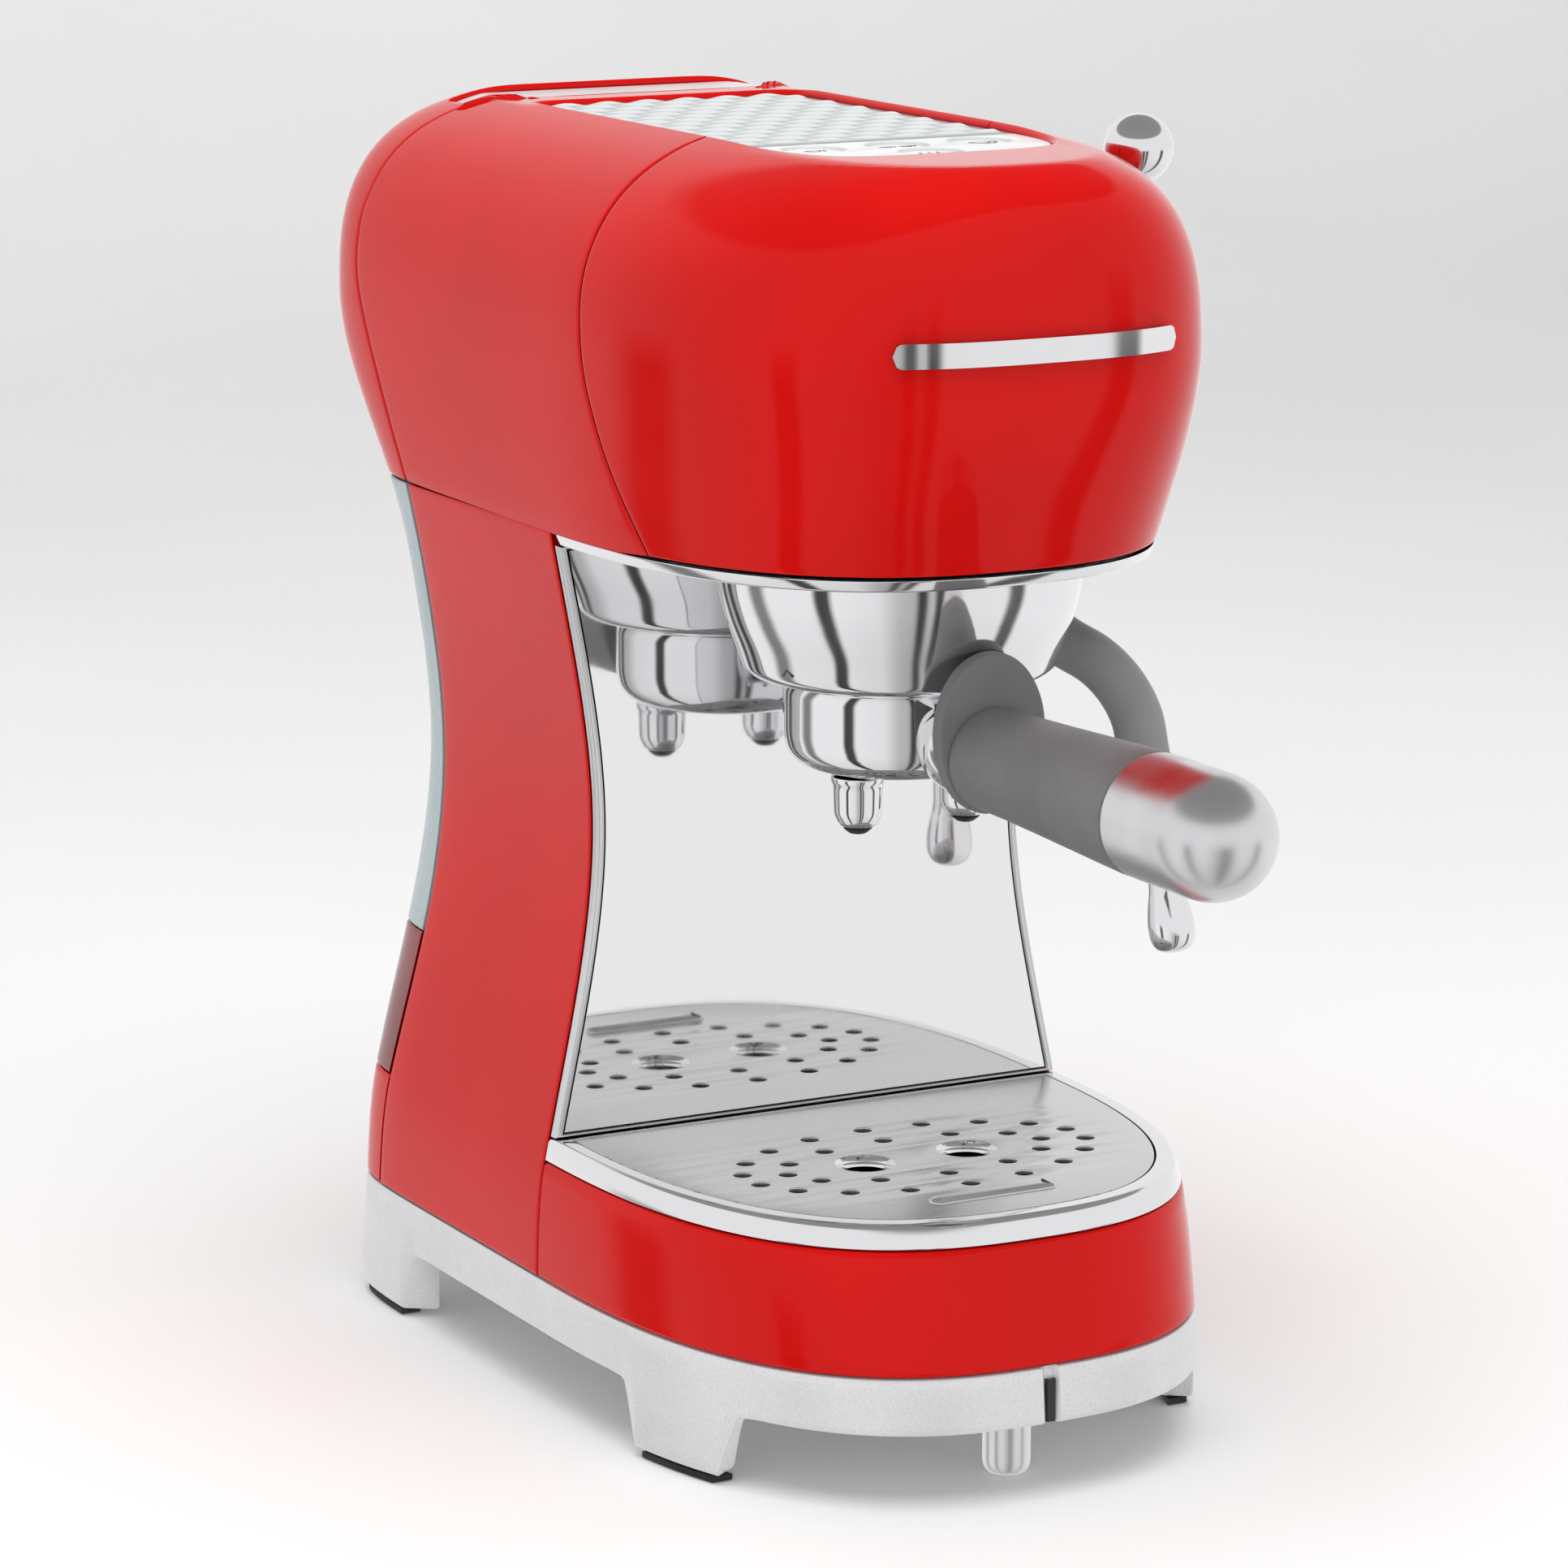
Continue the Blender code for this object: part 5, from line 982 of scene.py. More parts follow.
def evenly(turn, w, shares):
    """The same line on the skin, sampled at these shares of its length."""
    points = skin(turn, height_of(w))
    length = np.concatenate([[0.0], np.cumsum(np.linalg.norm(np.diff(points, axis=0), axis=1))])
    wanted = length[-1] * np.asarray(shares)
    return np.interp(wanted, length, turn), np.interp(wanted, length, w)


def onto_skin(points, centre):
    """Moves each point along its ray from the centre onto the skin, by halving the interval in which
    it leaves the body."""
    ray = points - np.asarray(centre)
    low, high = np.full(points.shape[:-1], 0.6), np.full(points.shape[:-1], 1.9)
    for _ in range(42):
        middle = (low + high) / 2
        x, y, z = np.moveaxis(np.asarray(centre) + ray * middle[..., None], -1, 0)
        width, front, back, square = reaches(np.minimum(z, TOP_Z - 1e-7), 0.0)
        n = np.where(y < 0, square, BACK_SQUARENESS)
        inside = (z < TOP_Z) & ((np.abs(x) / width)**n + (np.abs(y) / np.where(y < 0, front, back))**n < 1.0)
        low, high = np.where(inside, middle, low), np.where(inside, high, middle)
    return np.asarray(centre) + ray * low[..., None]


def seam_line(offset, low_z):
    """The rear seam on the skin, from low_z to the centre plane: by height while it climbs, and over
    the crown by direction, where each height is found by halving."""
    bend_z = 0.300
    z = np.linspace(low_z, bend_z, 300)
    turn = turn_at(eased_seam(z, REAR_SEAM) + offset, z)
    over = turn[-1] + (np.pi / 2 - turn[-1]) * np.linspace(0, 1, 500)[1:]
    low, high = np.full(over.shape, bend_z), np.full(over.shape, TOP_Z - 1e-6)
    for _ in range(45):
        middle = (low + high) / 2
        behind = skin(over, middle)[:, 1] > eased_seam(middle, REAR_SEAM) + offset
        low, high = np.where(behind, middle, low), np.where(behind, high, middle)
    return np.concatenate([turn, over]), climb(np.concatenate([z, low]))


def rear_shell_surface(columns=170, rows=64):
    """Middle of the head: one strip up the +X side, over the back of the crown and down the -X side,
    between the front seam and the panel's edge on its inner border and the rear seam on its outer one.
    Also the lip and wall of the panel's recess along that edge."""
    low = HEAD_LOW_Z + GAP
    angle = np.linspace(angle_at_seam() + 0.004, np.pi / 2, 1200)
    edge_turn, edge_climb = as_turn_climb(*panel_edge(angle, LIP))
    edge_turn[-1] = np.pi / 2
    z = height_of(np.linspace(climb(np.array(low)), edge_climb[0], 400))
    seam_turn = turn_at(eased_seam(z, FRONT_SEAM) + SEAM_GAP / 2, z)
    split = int(columns * 0.36)
    first = evenly(seam_turn, climb(z), np.linspace(0, 1, split))
    edge_points = skin(edge_turn, height_of(edge_climb))
    length = np.concatenate([[0.0], np.cumsum(np.linalg.norm(np.diff(edge_points, axis=0), axis=1))])
    second_angle = np.interp(np.linspace(0, length[-1], columns - split + 1), length, angle)
    second = as_turn_climb(*panel_edge(second_angle, LIP))
    second[0][-1] = np.pi / 2
    inner_turn = np.concatenate([first[0][:-1], second[0]])
    inner_climb = np.concatenate([first[1][:-1], second[1]])
    corner = split - 1 + int(np.searchsorted(second_angle, np.pi / 4))
    outer = seam_line(-SEAM_GAP / 2, low)
    outer_x = skin(outer[0], height_of(outer[1]))[:, 0]
    outer_length = np.linalg.norm(np.diff(skin(outer[0], height_of(outer[1])), axis=0), axis=1)
    at_corner = np.flatnonzero(outer_x > PANEL_HALF_WIDTH * 1.32)[-1]
    past_corner = outer_length[at_corner:].sum() / outer_length.sum()
    shares = np.interp(np.arange(columns), [0, split - 1, corner, columns - 1], [0, 0.42, 1 - past_corner, 1])
    outer_turn, outer_climb = evenly(*outer, shares)
    v = with_fine_ends(rows, 0.008)[:, None]
    inner = skin(inner_turn, height_of(inner_climb))
    outer_edge = skin(outer_turn, height_of(outer_climb))
    points = onto_skin(inner + v[..., None] * (outer_edge - inner), HEAD_CENTRE)
    points[:, -1, 0] = 0.0
    well_angle = np.concatenate([np.full(split - 1, second_angle[0]), second_angle])
    points = shelved(points)
    lip = np.array(well_rows(points[0], well_angle, WELL_LOW_Z))
    edge_row = points[:1, split - 1:].copy()
    full = np.concatenate([points, points[:, -2::-1] * (-1.0, 1.0, 1.0)], axis=1)
    rolled = roll_borders(full, first_row=False)
    seam_part = roll_borders(full, last_row=False)
    beside = np.ones(full.shape[1], bool)
    beside[split - 2:full.shape[1] - split + 2] = False
    rolled[:6, beside] = seam_part[:6, beside]
    band = np.concatenate([edge_row, lip[:, split - 1:]])
    band = np.concatenate([band, band[:, -2::-1] * (-1.0, 1.0, 1.0)], axis=1)
    return grid(rolled), grid(band)


def spine_surface(columns=70, rows=150):
    """Back of the head: lines run from the rear seam on one side to the middle of the back and on to
    the seam on the other side; they close to a point where the seam crosses the centre plane."""
    low = HEAD_LOW_Z + GAP
    shares = with_fine_ends(rows, 0.005)
    seam_turn, seam_climb = evenly(*seam_line(SEAM_GAP / 2, low), shares)
    back_climb = climb(np.array(low)) + shares * (seam_climb[-1] - climb(np.array(low)))
    v = with_fine_ends(2 * columns, 0.004)
    v = 1 - np.abs(2 * v - 1)
    turn = seam_turn[:, None] + v * (np.pi / 2 - seam_turn[:, None])
    w = seam_climb[:, None] + v * (back_climb - seam_climb)[:, None]
    points = skin(turn, height_of(w))
    points[:, columns:, 0] *= -1
    return grid(roll_borders(shelved(points)))


def rounded_block(half_x, y0, y1, z0, z1, radius):
    """Upright block with rounded vertical corners, for cutting."""
    corners = [(half_x, y0, radius), (half_x, y1, radius), (-half_x, y1, radius), (-half_x, y0, radius)]
    ring = rounded(corners, 0.02, 6, closed=True)
    levels = [np.c_[ring, np.full(len(ring), z)] for z in (z0, z1)]
    return grid(np.array(levels), wrap_columns=True, cap_first=True, cap_last=True)


def cut(obj, block):
    """Takes a block out of a piece for good, and removes the block."""
    cutter = make_object(obj.name + "_cutter", [block])
    add_modifier(obj, "BOOLEAN", "opening", object=cutter, operation="DIFFERENCE", solver="EXACT")
    depsgraph = bpy.context.evaluated_depsgraph_get()
    made = bpy.data.meshes.new_from_object(obj.evaluated_get(depsgraph))
    obj.modifiers.clear()
    obj.data = made
    made.name = obj.name
    bpy.data.objects.remove(cutter)
    return obj


def make_head():
    front = make_object("head_front_cover", [front_shell_surface()], HEAD_CENTRE)
    add_wall(front, 0.0010)
    deliver(front, "machine", "red_enamel", FINISHES["red_enamel"], "head_front_shell")
    strip, band = rear_shell_surface()
    middle = make_object("head_middle_cover", [strip], HEAD_CENTRE)
    add_wall(middle, 0.0010)
    deliver(middle, "machine", "red_enamel", FINISHES["red_enamel"], "head_rear_shell")
    well = make_object("head_panel_recess_wall", [band], (0.0, PANEL_CENTRE_Y, 0.3))
    well.data.flip_normals()
    add_wall(well, 0.0008)
    deliver(well, "machine", "red_enamel", FINISHES["red_enamel"])
    spine = make_object("tank_spine_cover", [spine_surface()], (0.0, 0.06, 0.26))
    add_wall(spine, SHELL_WALL)
    cut(spine, rounded_block(LID_HALF_WIDTH + LID_GAP, LID_Y[0] - LID_GAP, LID_Y[1] + LID_GAP, *LID_CUT_Z,
                             LID_CORNER))
    deliver(spine, "tank", "red_enamel", FINISHES["red_enamel"], "rear_spine")
    trim = make_object("head_bright_trim", [stack(
        [(0.0006, TRIM_LOW_Z, 0.0006), (0.0, HEAD_LOW_Z - GAP, 0.0004), (0.0050, HEAD_LOW_Z - GAP, 0.0002),
         (0.0050, TRIM_LOW_Z, 0.0003)],
        y_back=lambda z: -GAP + 0 * z, step=0.0012, closed=True, along=150)])
    deliver(trim, "machine", "chrome", FINISHES["chrome"], "head_trim")


def make_lid():
    x = np.linspace(-LID_HALF_WIDTH, LID_HALF_WIDTH, 81)
    y = np.linspace(LID_Y[0], LID_Y[1], 21)
    xs, ys = np.meshgrid(x, y)
    points = np.stack([xs, ys, np.minimum(LID_TOP_Z, crown_height(xs, ys, 0.0010))], axis=-1)
    lid = make_object("tank_filling_lid", [grid(points)], (0.0, 0.1, 0.2))
    add_wall(lid, 0.0020)
    round_edges(lid, 0.0005)
    deliver(lid, "lid", "panel_silver", FINISHES["lid_grey"], "tank_lid")


def make_badge():
    """A plain bar whose rounded section follows the curved front of the head."""
    x = np.linspace(-0.0380, 0.0380, 91)
    width, front, _, square = (float(value) for value in reaches(np.array(BADGE_Z), 0.0))
    y = -front * (1 - (np.abs(x) / width)**square) ** (1 / square)
    line = np.c_[x, y, np.full(len(x), BADGE_Z)]
    away = unit(np.c_[np.gradient(y), -np.gradient(x), np.zeros(len(x))])
    end = np.clip((0.0380 - np.abs(x)) / 0.0022, 0.0, 1.0)
    tall = np.sqrt(np.maximum(1 - (1 - end)**2, 0.0))[:, None] * 0.0030
    section = rounded([(0.0003, -1.0, 0), (0.0021, -1.0, 0.0010), (0.0021, 1.0, 0.0010), (0.0003, 1.0, 0)],
                      0.5, 5)
    points = line[:, None] + away[:, None] * section[None, :, :1]
    points[..., 2] += tall * section[None, :, 1]
    bar = make_object("head_plain_badge", [grid(points, wrap_columns=True, cap_first=False, cap_last=False)])
    deliver(bar, "machine", "chrome", FINISHES["chrome"], "head_badge")


# ---------------------------------------------------------------- top panel
RELIEF_HEIGHT = 0.0010


def wave_relief(x, y):
    """Embossed field: rows of low pillows in depth, each row shifted half a pillow and bent by a sine
    along its length, so the valleys between rows run as waves.  It dies out at the field's edge."""
    pitch_x, pitch_y = 0.0118, 0.0086
    row = (y - CONTROL_EDGE_Y) / pitch_y
    number = np.floor(row)
    within = row - number
    shift = 0.5 * np.mod(number, 2)
    bump_x = 0.5 + 0.5 * np.cos(2 * np.pi * (x / pitch_x + shift))
    lean = within + 0.18 * (bump_x - 0.5)
    ridge = np.clip(np.sin(np.pi * np.clip(lean, 0.0, 1.0)), 0.0, 1.0) ** 0.55
    pillow = ridge * (0.32 + 0.68 * bump_x**0.7)
    _, edge_y = panel_edge(np.full(np.shape(x), np.pi / 2))
    fade_y = np.clip(np.minimum(y - CONTROL_EDGE_Y - 0.0008, edge_y - 0.0016 - y) / 0.002, 0.0, 1.0)
    fade_x = np.clip((PANEL_HALF_WIDTH - 0.0022 - np.abs(x)) / 0.002, 0.0, 1.0)
    return RELIEF_HEIGHT * pillow * fade_x * fade_y


def panel_half_width(y):
    """Half width of the panel at depth y, from its superellipse, less the fitting gap."""
    front = PANEL_CENTRE_Y - PANEL_FRONT_Y - GAP
    back = PANEL_BACK_Y - PANEL_CENTRE_Y - GAP
    q = np.where(y < PANEL_CENTRE_Y, (PANEL_CENTRE_Y - y) / front, (y - PANEL_CENTRE_Y) / back)
    n = np.where(y < PANEL_CENTRE_Y, 4.0, 16.0)
    return (PANEL_HALF_WIDTH - GAP) * np.clip(1 - np.clip(q, 0, 1)**n, 0.0, 1.0) ** (1 / n)


def make_panel():
    low_z = PANEL_TOP_Z - 0.0022
    y = np.linspace(CONTROL_EDGE_Y, PANEL_BACK_Y - GAP - 0.0004, 300)
    across = np.linspace(-1, 1, 190)
    xs = panel_half_width(y)[:, None] * across
    ys = np.broadcast_to(y[:, None], xs.shape)
    top = np.stack([xs, ys, PANEL_TOP_Z + wave_relief(xs, ys)], axis=-1)
    field = make_object("panel_embossed_field", [grid(top)], (0.0, 0.0, 0.2))
    # relief runs from 0 in the valleys to 1 on the pillow tops; the embossed finish uses it to paint shade
    # into the valleys.
    relief = field.data.attributes.new("relief", "FLOAT", "POINT")
    relief.data.foreach_set("value", (wave_relief(xs, ys) / RELIEF_HEIGHT).ravel())
    add_modifier(field, "SOLIDIFY", "wall", thickness=0.0015, offset=-1.0)
    deliver(field, "machine", "panel_silver", FINISHES["embossed_silver"], "top_panel")
    front_angle = np.linspace(-np.pi, 0, 240)
    x, edge_y = panel_edge(front_angle, -GAP)
    keep = edge_y < CONTROL_EDGE_Y - 0.0001
    half = float(panel_half_width(np.array(CONTROL_EDGE_Y)))
    outline = np.vstack([[(-half, CONTROL_EDGE_Y)], np.c_[x, edge_y][keep], [(half, CONTROL_EDGE_Y)]])
    rings = [outline] + [ring_points(spot, BUTTON_RADIUS + 0.00045, 72) for spot in BUTTONS.values()]
    plate = flat_outline("panel_control_plate", rings, low_z, PANEL_TOP_Z, 0.00004)
    deliver(plate, "machine", "panel_silver", FINISHES["panel_silver"])
    # Black discs under the buttons: dark sheets that paint the shade down in the button wells.
    floor = lathe([(0.0, 0.0, 0), (BUTTON_RADIUS + 0.002, 0.0, 0), (BUTTON_RADIUS + 0.002, -0.0004, 0),
                   (0.0, -0.0004, 0)],
                  (0.0, 0.0, 0.0), around=48)
    shadow = make_object("panel_button_well_shade_discs", [
        (floor[0] + (spot[0], spot[1], low_z - 0.0053), floor[1]) for spot in BUTTONS.values()])
    deliver(shadow, "machine", "black_plastic", FINISHES["black_plastic"])


def arc_mark(centre, radius, start, end, width, z, count=24):
    """A raised line along an arc, as a thin flat band."""
    angle = np.radians(np.linspace(start, end, count))
    rings = [(radius - width / 2, z), (radius - width / 2, z + 0.00008), (radius + width / 2, z + 0.00008),
             (radius + width / 2, z)]
    points = np.array([[(centre[0] + r * math.cos(a), centre[1] + r * math.sin(a), height) for r,
                        height in rings]
                       for a in angle])
    return grid(points, wrap_columns=True, cap_first=True, cap_last=True)


def bar_mark(x0, y0, x1, y1, width, z):
    """A raised straight line between two points, as a thin flat band."""
    start, end = np.array([x0, y0]), np.array([x1, y1])
    along = unit(end - start)
    side = np.array([-along[1], along[0]]) * width / 2
    corners = np.array([start + side, start - side, end - side, end + side])
    levels = [np.c_[corners, np.full(4, height)] for height in (z, z + 0.00008)]
    return grid(np.array(levels), wrap_columns=True, cap_first=True, cap_last=True)


def cup_mark(x, y, z, size):
    """Small generic cup seen from the side: a bowl, its rim and a handle."""
    return [arc_mark((x, y), size, 180, 360, 0.0005, z), bar_mark(x - size, y, x + size, y, 0.0005, z),
            arc_mark((x + size * 1.25, y - size * 0.35), size * 0.4, -110, 110, 0.0004, z, 12)]


def make_buttons():
    for name, (x, y) in BUTTONS.items():
        r = BUTTON_RADIUS
        disc = lathe([(0.0, 0.0001, 0), (r - 0.0020, 0.0, 0.001), (r - 0.0003, -0.0001, 0.0003),
                      (r, -0.0005, 0.0003),
                      (r, -0.0030, 0), (0.0026, -0.0030, 0), (0.0026, -0.0052, 0), (0.0, -0.0052, 0)],
                     (x, y, PANEL_TOP_Z - BUTTON_SUNK), around=96, step=0.002)
        cap = make_object(name + "_cap", [disc])
        deliver(cap, name, "panel_silver", FINISHES["panel_silver"], name)
        z = PANEL_TOP_Z - BUTTON_SUNK + 0.00004
        if name == "button_left":
            marks = cup_mark(x, y + 0.0006, z, 0.0020)
        elif name == "button_centre":
            marks = cup_mark(x - 0.0030, y + 0.0006, z, 0.0016) + cup_mark(x + 0.0026, y + 0.0006, z, 0.0016)
        elif name == "button_right":
            marks = cup_mark(x, y + 0.0004, z, 0.0028) + [bar_mark(x - 0.0028, y - 0.0032, x + 0.0028,
                                                                   y - 0.0032, 0.0005, z)]
        else:
            marks = [arc_mark((x + dx, y), 0.0014, 100, 260, 0.0004, z, 14) for dx in (-0.0016, 0.0008,
                                                                                       0.0032)]
        icon = make_object(name + "_mark", marks)
        deliver(icon, name, "panel_silver", FINISHES["icon_grey"])


# ---------------------------------------------------------------- brew group and portafilter
def make_group():
    low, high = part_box("group_cover")
    top, bottom = high.z, low.z
    lip = 0.0302
    cover = make_object("group_bright_cover", [lathe(
        [(0.0448, top, 0.0002), (0.0460, top, 0.0006), (0.0455, 0.2150, 0.004), (0.0436, 0.2070, 0.008),
         (0.0404, 0.1985, 0.006), (0.0390, 0.1945, 0.0015), (0.0374, bottom, 0.0010), (lip, bottom, 0.0006),
         (lip, bottom + 0.0014, 0.0003), (0.0358, bottom + 0.0014, 0.001), (0.0390, 0.1990, 0.004),
         (0.0421, 0.2070, 0.006),
         (0.0440, 0.2150, 0.004)],
        (0.0, GROUP_Y, 0.0), around=160, step=0.0025, closed=True)])
    deliver(cover, "machine", "chrome", FINISHES["chrome"], "group_cover")
    marks = []
    for lean in (-1, 1):
        spot = np.radians(-162.0)
        out = np.array([math.cos(spot), math.sin(spot), 0.0])
        side = np.array([-out[1], out[0], 0.0])
        centre = np.array([0.0, GROUP_Y, 0.1975]) + out * 0.03995
        start = centre + side * 0.0017 * lean - (0.0, 0.0, 0.0009)
        end = centre + out * 0.0003 + (0.0, 0.0, 0.0009)
        marks.append(tube(np.linspace(start, end, 4), 0.00028, out, 8))
    chevron = make_object("group_lock_mark", marks)
    deliver(chevron, "machine", "black_plastic", FINISHES["icon_grey"])


def make_portafilter():
    low, high = 0.1690, 0.2044
    r = 0.0290
    cup = lathe(
        [(0.0, low, 0), (r - 0.0078, low, 0.003), (r - 0.0036, low + 0.0010, 0.003),
         (r - 0.0008, low + 0.0040, 0.003),
         (r, low + 0.0080, 0.002), (r, 0.1908, 0), (r + 0.0004, 0.1914, 0.0004), (r + 0.0004, high, 0.0004),
         (r - 0.0022, high, 0.0003), (r - 0.0022, low + 0.0090, 0.003), (r - 0.0082, low + 0.0022, 0.003),
         (0.0, low + 0.0022, 0)],
        (0.0, GROUP_Y, 0.0), around=144, step=0.0025)
    neck_root, collar = GROUP_Y - r + 0.0030, -0.0894
    path = np.c_[np.zeros(28), np.linspace(neck_root, collar, 28), np.full(28, HANDLE_Z)]
    share = np.linspace(0, 1, 28)
    swell = 0.0092 + 0.0021 * np.sin(np.pi * share) ** 0.8
    neck = tube(path, swell, (1.0, 0.0, 0.0), 64)
    lugs = []
    for turn in (np.pi / 4, 5 * np.pi / 4):
        out = np.array([math.cos(turn), math.sin(turn)])
        side = np.array([-out[1], out[0]]) * 0.0088
        centre = np.array([0.0, GROUP_Y])
        flat = [centre + out * (r - 0.001) + side, centre + out * (r - 0.001) - side,
                centre + out * 0.0324 - side, centre + out * 0.0324 + side]
        levels = [np.c_[np.array(flat), np.full(4, z)] for z in (0.1976, high - 0.0008)]
        lugs.append(grid(np.array(levels), wrap_columns=True, cap_first=True, cap_last=True))
    body = make_object("portafilter_bright_cup", [cup, neck] + lugs)
    deliver(body, "portafilter", "chrome", FINISHES["chrome"], "portafilter_body")
    for name, sign in (("left", -1), ("right", 1)):
        s, top, foot = 0.0062, low - 0.0002, 0.1560
        centre = (sign * 0.0154, -0.0535, 0.0)
        spout = make_object(f"spout_bright_{name}", [lathe(
            [(0.0, top, 0), (s + 0.0006, top, 0.0004), (s + 0.0006, top - 0.0012, 0.0006),
             (s, top - 0.0026, 0.0010),
             (s - 0.0002, foot + 0.0030, 0.0014), (s - 0.0012, foot + 0.0008, 0.0010),
             (s - 0.0020, foot, 0.0005),
             (0.0, foot, 0)], centre, around=64, step=0.0015)])
        deliver(spout, "portafilter", "chrome", FINISHES["chrome"], f"spout_{name}")
        nozzle = make_object(f"spout_outlet_{name}", [lathe(
            [(0.0, foot - GAP, 0), (s - 0.0024, foot - GAP, 0.0004), (s - 0.0040, 0.1542, 0.0006),
             (0.0, 0.1538, 0)],
            centre, around=48, step=0.001)])
        deliver(nozzle, "portafilter", "black_plastic", FINISHES["black_plastic"], f"spout_nozzle_{name}")


def oval_disc(y0, y1, half_x, half_z, centre_z, edge):
    """Oval plate square to Y with rounded rims: each ring is the oval scaled by its profile."""
    angle = np.linspace(0, 2 * np.pi, 96, endpoint=False)
    rows = []
    for a, b, shrink in ((0, 0, edge), (0, 0.3, 0.3 * edge), (0, 1.0, 0.0), (1, -1.0, 0.0),
                         (1, -0.3, 0.3 * edge), (1, 0, edge)):
        y = (y1 if a else y0) + b * edge
        rows.append(np.stack([(half_x - shrink) * np.cos(angle), np.full(96, y),
                              centre_z + (half_z - shrink) * np.sin(angle)], axis=-1))
    return grid(np.array(rows), wrap_columns=True, cap_first=True, cap_last=True)


def make_handle():
    collar = make_object("handle_oval_collar", [oval_disc(-0.0940, -0.0894, 0.0150, 0.0200, 0.1850, 0.0011)])
    deliver(collar, "portafilter", "grip_grey", FINISHES["grip_grey"], "handle_collar")
    y = -np.array([0.0942, 0.0950, 0.1000, 0.1100, 0.1250, 0.1400, 0.1550, 0.1660, 0.1684, 0.1688])
    radius = np.array([0.0126, 0.0129, 0.0129, 0.0131, 0.0136, 0.0142, 0.0148, 0.0152, 0.0151, 0.0147])
    fine = np.linspace(0, len(y) - 1, 90)
    line = np.interp(fine, np.arange(len(y)), y)
    size = np.interp(fine, np.arange(len(y)), radius)
    path = np.c_[np.zeros(90), line, np.full(90, HANDLE_Z)]
    grip = make_object("handle_moulded_grip", [tube(path, size, (1.0, 0.0, 0.0), 80)])
    deliver(grip, "portafilter", "grip_grey", FINISHES["grip_grey"], "handle_grip")
    start, tip, r = -0.1694, -0.2100, 0.0152
    turn = np.linspace(0, np.pi / 2, 22)
    straight = -tip + start - r * 1.05
    heights = np.concatenate([[0.0, 0.0003], np.linspace(0.002, straight, 8),
                              straight + r * 1.05 * np.sin(turn[1:])])
    sizes = np.concatenate([[r - 0.0004, r], np.full(8, r), r * np.cos(turn[1:])])
    sizes[-1] = 0.0
    corners = [(0.0, 0.0, 0)] + [(size, height, 0) for size, height in zip(sizes, heights)]
    cap = make_object("handle_satin_cap", [lathe(corners, (0.0, start, HANDLE_Z), (0.0, -1.0, 0.0), 96,
                                                 0.003)])
    deliver(cap, "portafilter", "brushed_steel", FINISHES["satin_chrome"], "handle_cap")


# ---------------------------------------------------------------- steam lever and wand
def make_lever():
    wall = float(reaches(np.array(LEVER_Z), 0.0)[0])
    hub_x, hub_high = wall + 0.0012, 0.0062
    hub = make_object("lever_bright_hub", [lathe(
        [(0.0, hub_high, 0), (0.0072, hub_high, 0.0012), (0.0090, hub_high - 0.0022, 0.0012),
         (0.0090, 0.0, 0.0003),
         (0.0, 0.0, 0)], (hub_x, LEVER_Y, LEVER_Z), (1.0, 0.0, 0.0), 80, 0.0015)])
    deliver(hub, "lever", "chrome", FINISHES["chrome"], "lever_hub")
    ball = np.array(LEVER_BALL)
    root = np.array([hub_x + hub_high / 2, LEVER_Y, LEVER_Z])
    line = unit(ball - root)
    path = np.linspace(root + line * 0.0080, ball - line * 0.0050, 16)
    radius = np.concatenate([[0.0034, 0.0033, 0.0030], np.full(10, 0.0026), [0.0028, 0.0031, 0.0036]])
    stalk = tube(path, radius, (0.0, 1.0, 0.0), 40)
    turn = np.linspace(0, np.pi, 40)
    size = 0.0090 * np.sin(turn)
    size[[0, -1]] = 0.0
    knob = lathe([(s, h, 0) for s, h in zip(size, 0.0090 * np.cos(turn))], ball, line, 80, 0.01)
    arm = make_object("lever_stalk_and_ball", [stalk, knob])
    deliver(arm, "lever", "chrome", FINISHES["chrome"], "lever_arm")


WAND_ROUTE = [(0.0490, -0.0160, 0.2100), (0.0491, -0.0161, 0.2060), (0.0520, -0.0209, 0.1985),
              (0.0575, -0.0299, 0.1925),
              (0.0624, -0.0380, 0.1883), (0.0661, -0.0440, 0.1825), (0.0686, -0.0481,
                                                                     0.1750), (0.0697, -0.0499, 0.1660),
              (0.0712, -0.0523, 0.1520), (0.0722, -0.0541, 0.1420)]


def make_wand():
    joint = make_object("wand_bright_joint", [lathe(
        [(0.0, 0.2262, 0), (0.0058, 0.2262, 0), (0.0058, 0.2210, 0), (0.0066, 0.2175, 0.002),
         (0.0070, 0.2140, 0.002),
         (0.0066, 0.2108, 0.0008), (0.0, 0.2108, 0)], (0.0490, -0.0160, 0.0), around=64, step=0.0015)])
    deliver(joint, "wand", "chrome", FINISHES["chrome"], "wand_ball")
    line = smooth_path(WAND_ROUTE, 10)
    sleeve = make_object("wand_grip_sleeve", [tube(line, 0.0067, (0.85, 0.52, 0.0), 48, 0.0008)])
    deliver(sleeve, "wand", "grip_grey", FINISHES["wand_grey"], "wand_sleeve")
    end, tip = np.array(WAND_ROUTE[-1]), np.array((0.0749, -0.0584, 0.1145))
    length = float(np.linalg.norm(tip - end))
    nozzle = make_object("wand_bright_tip", [lathe(
        [(0.0, 0.0002, 0), (0.0043, 0.0002, 0), (0.0043, length - 0.0170, 0.004),
         (0.0052, length - 0.0135, 0.003),
         (0.0062, length - 0.0080, 0.004), (0.0061, length - 0.0036, 0.002),
         (0.0048, length - 0.0010, 0.0016),
         (0.0024, length, 0.001), (0.0, length, 0)], end, tip - end, 64, 0.0015)])
    deliver(nozzle, "wand", "chrome", FINISHES["chrome"], "wand_tip")


# ---------------------------------------------------------------- stage
def look_at(obj, target):
    direction = Vector(target) - obj.location
    obj.rotation_euler = direction.to_track_quat("-Z", "Y").to_euler()


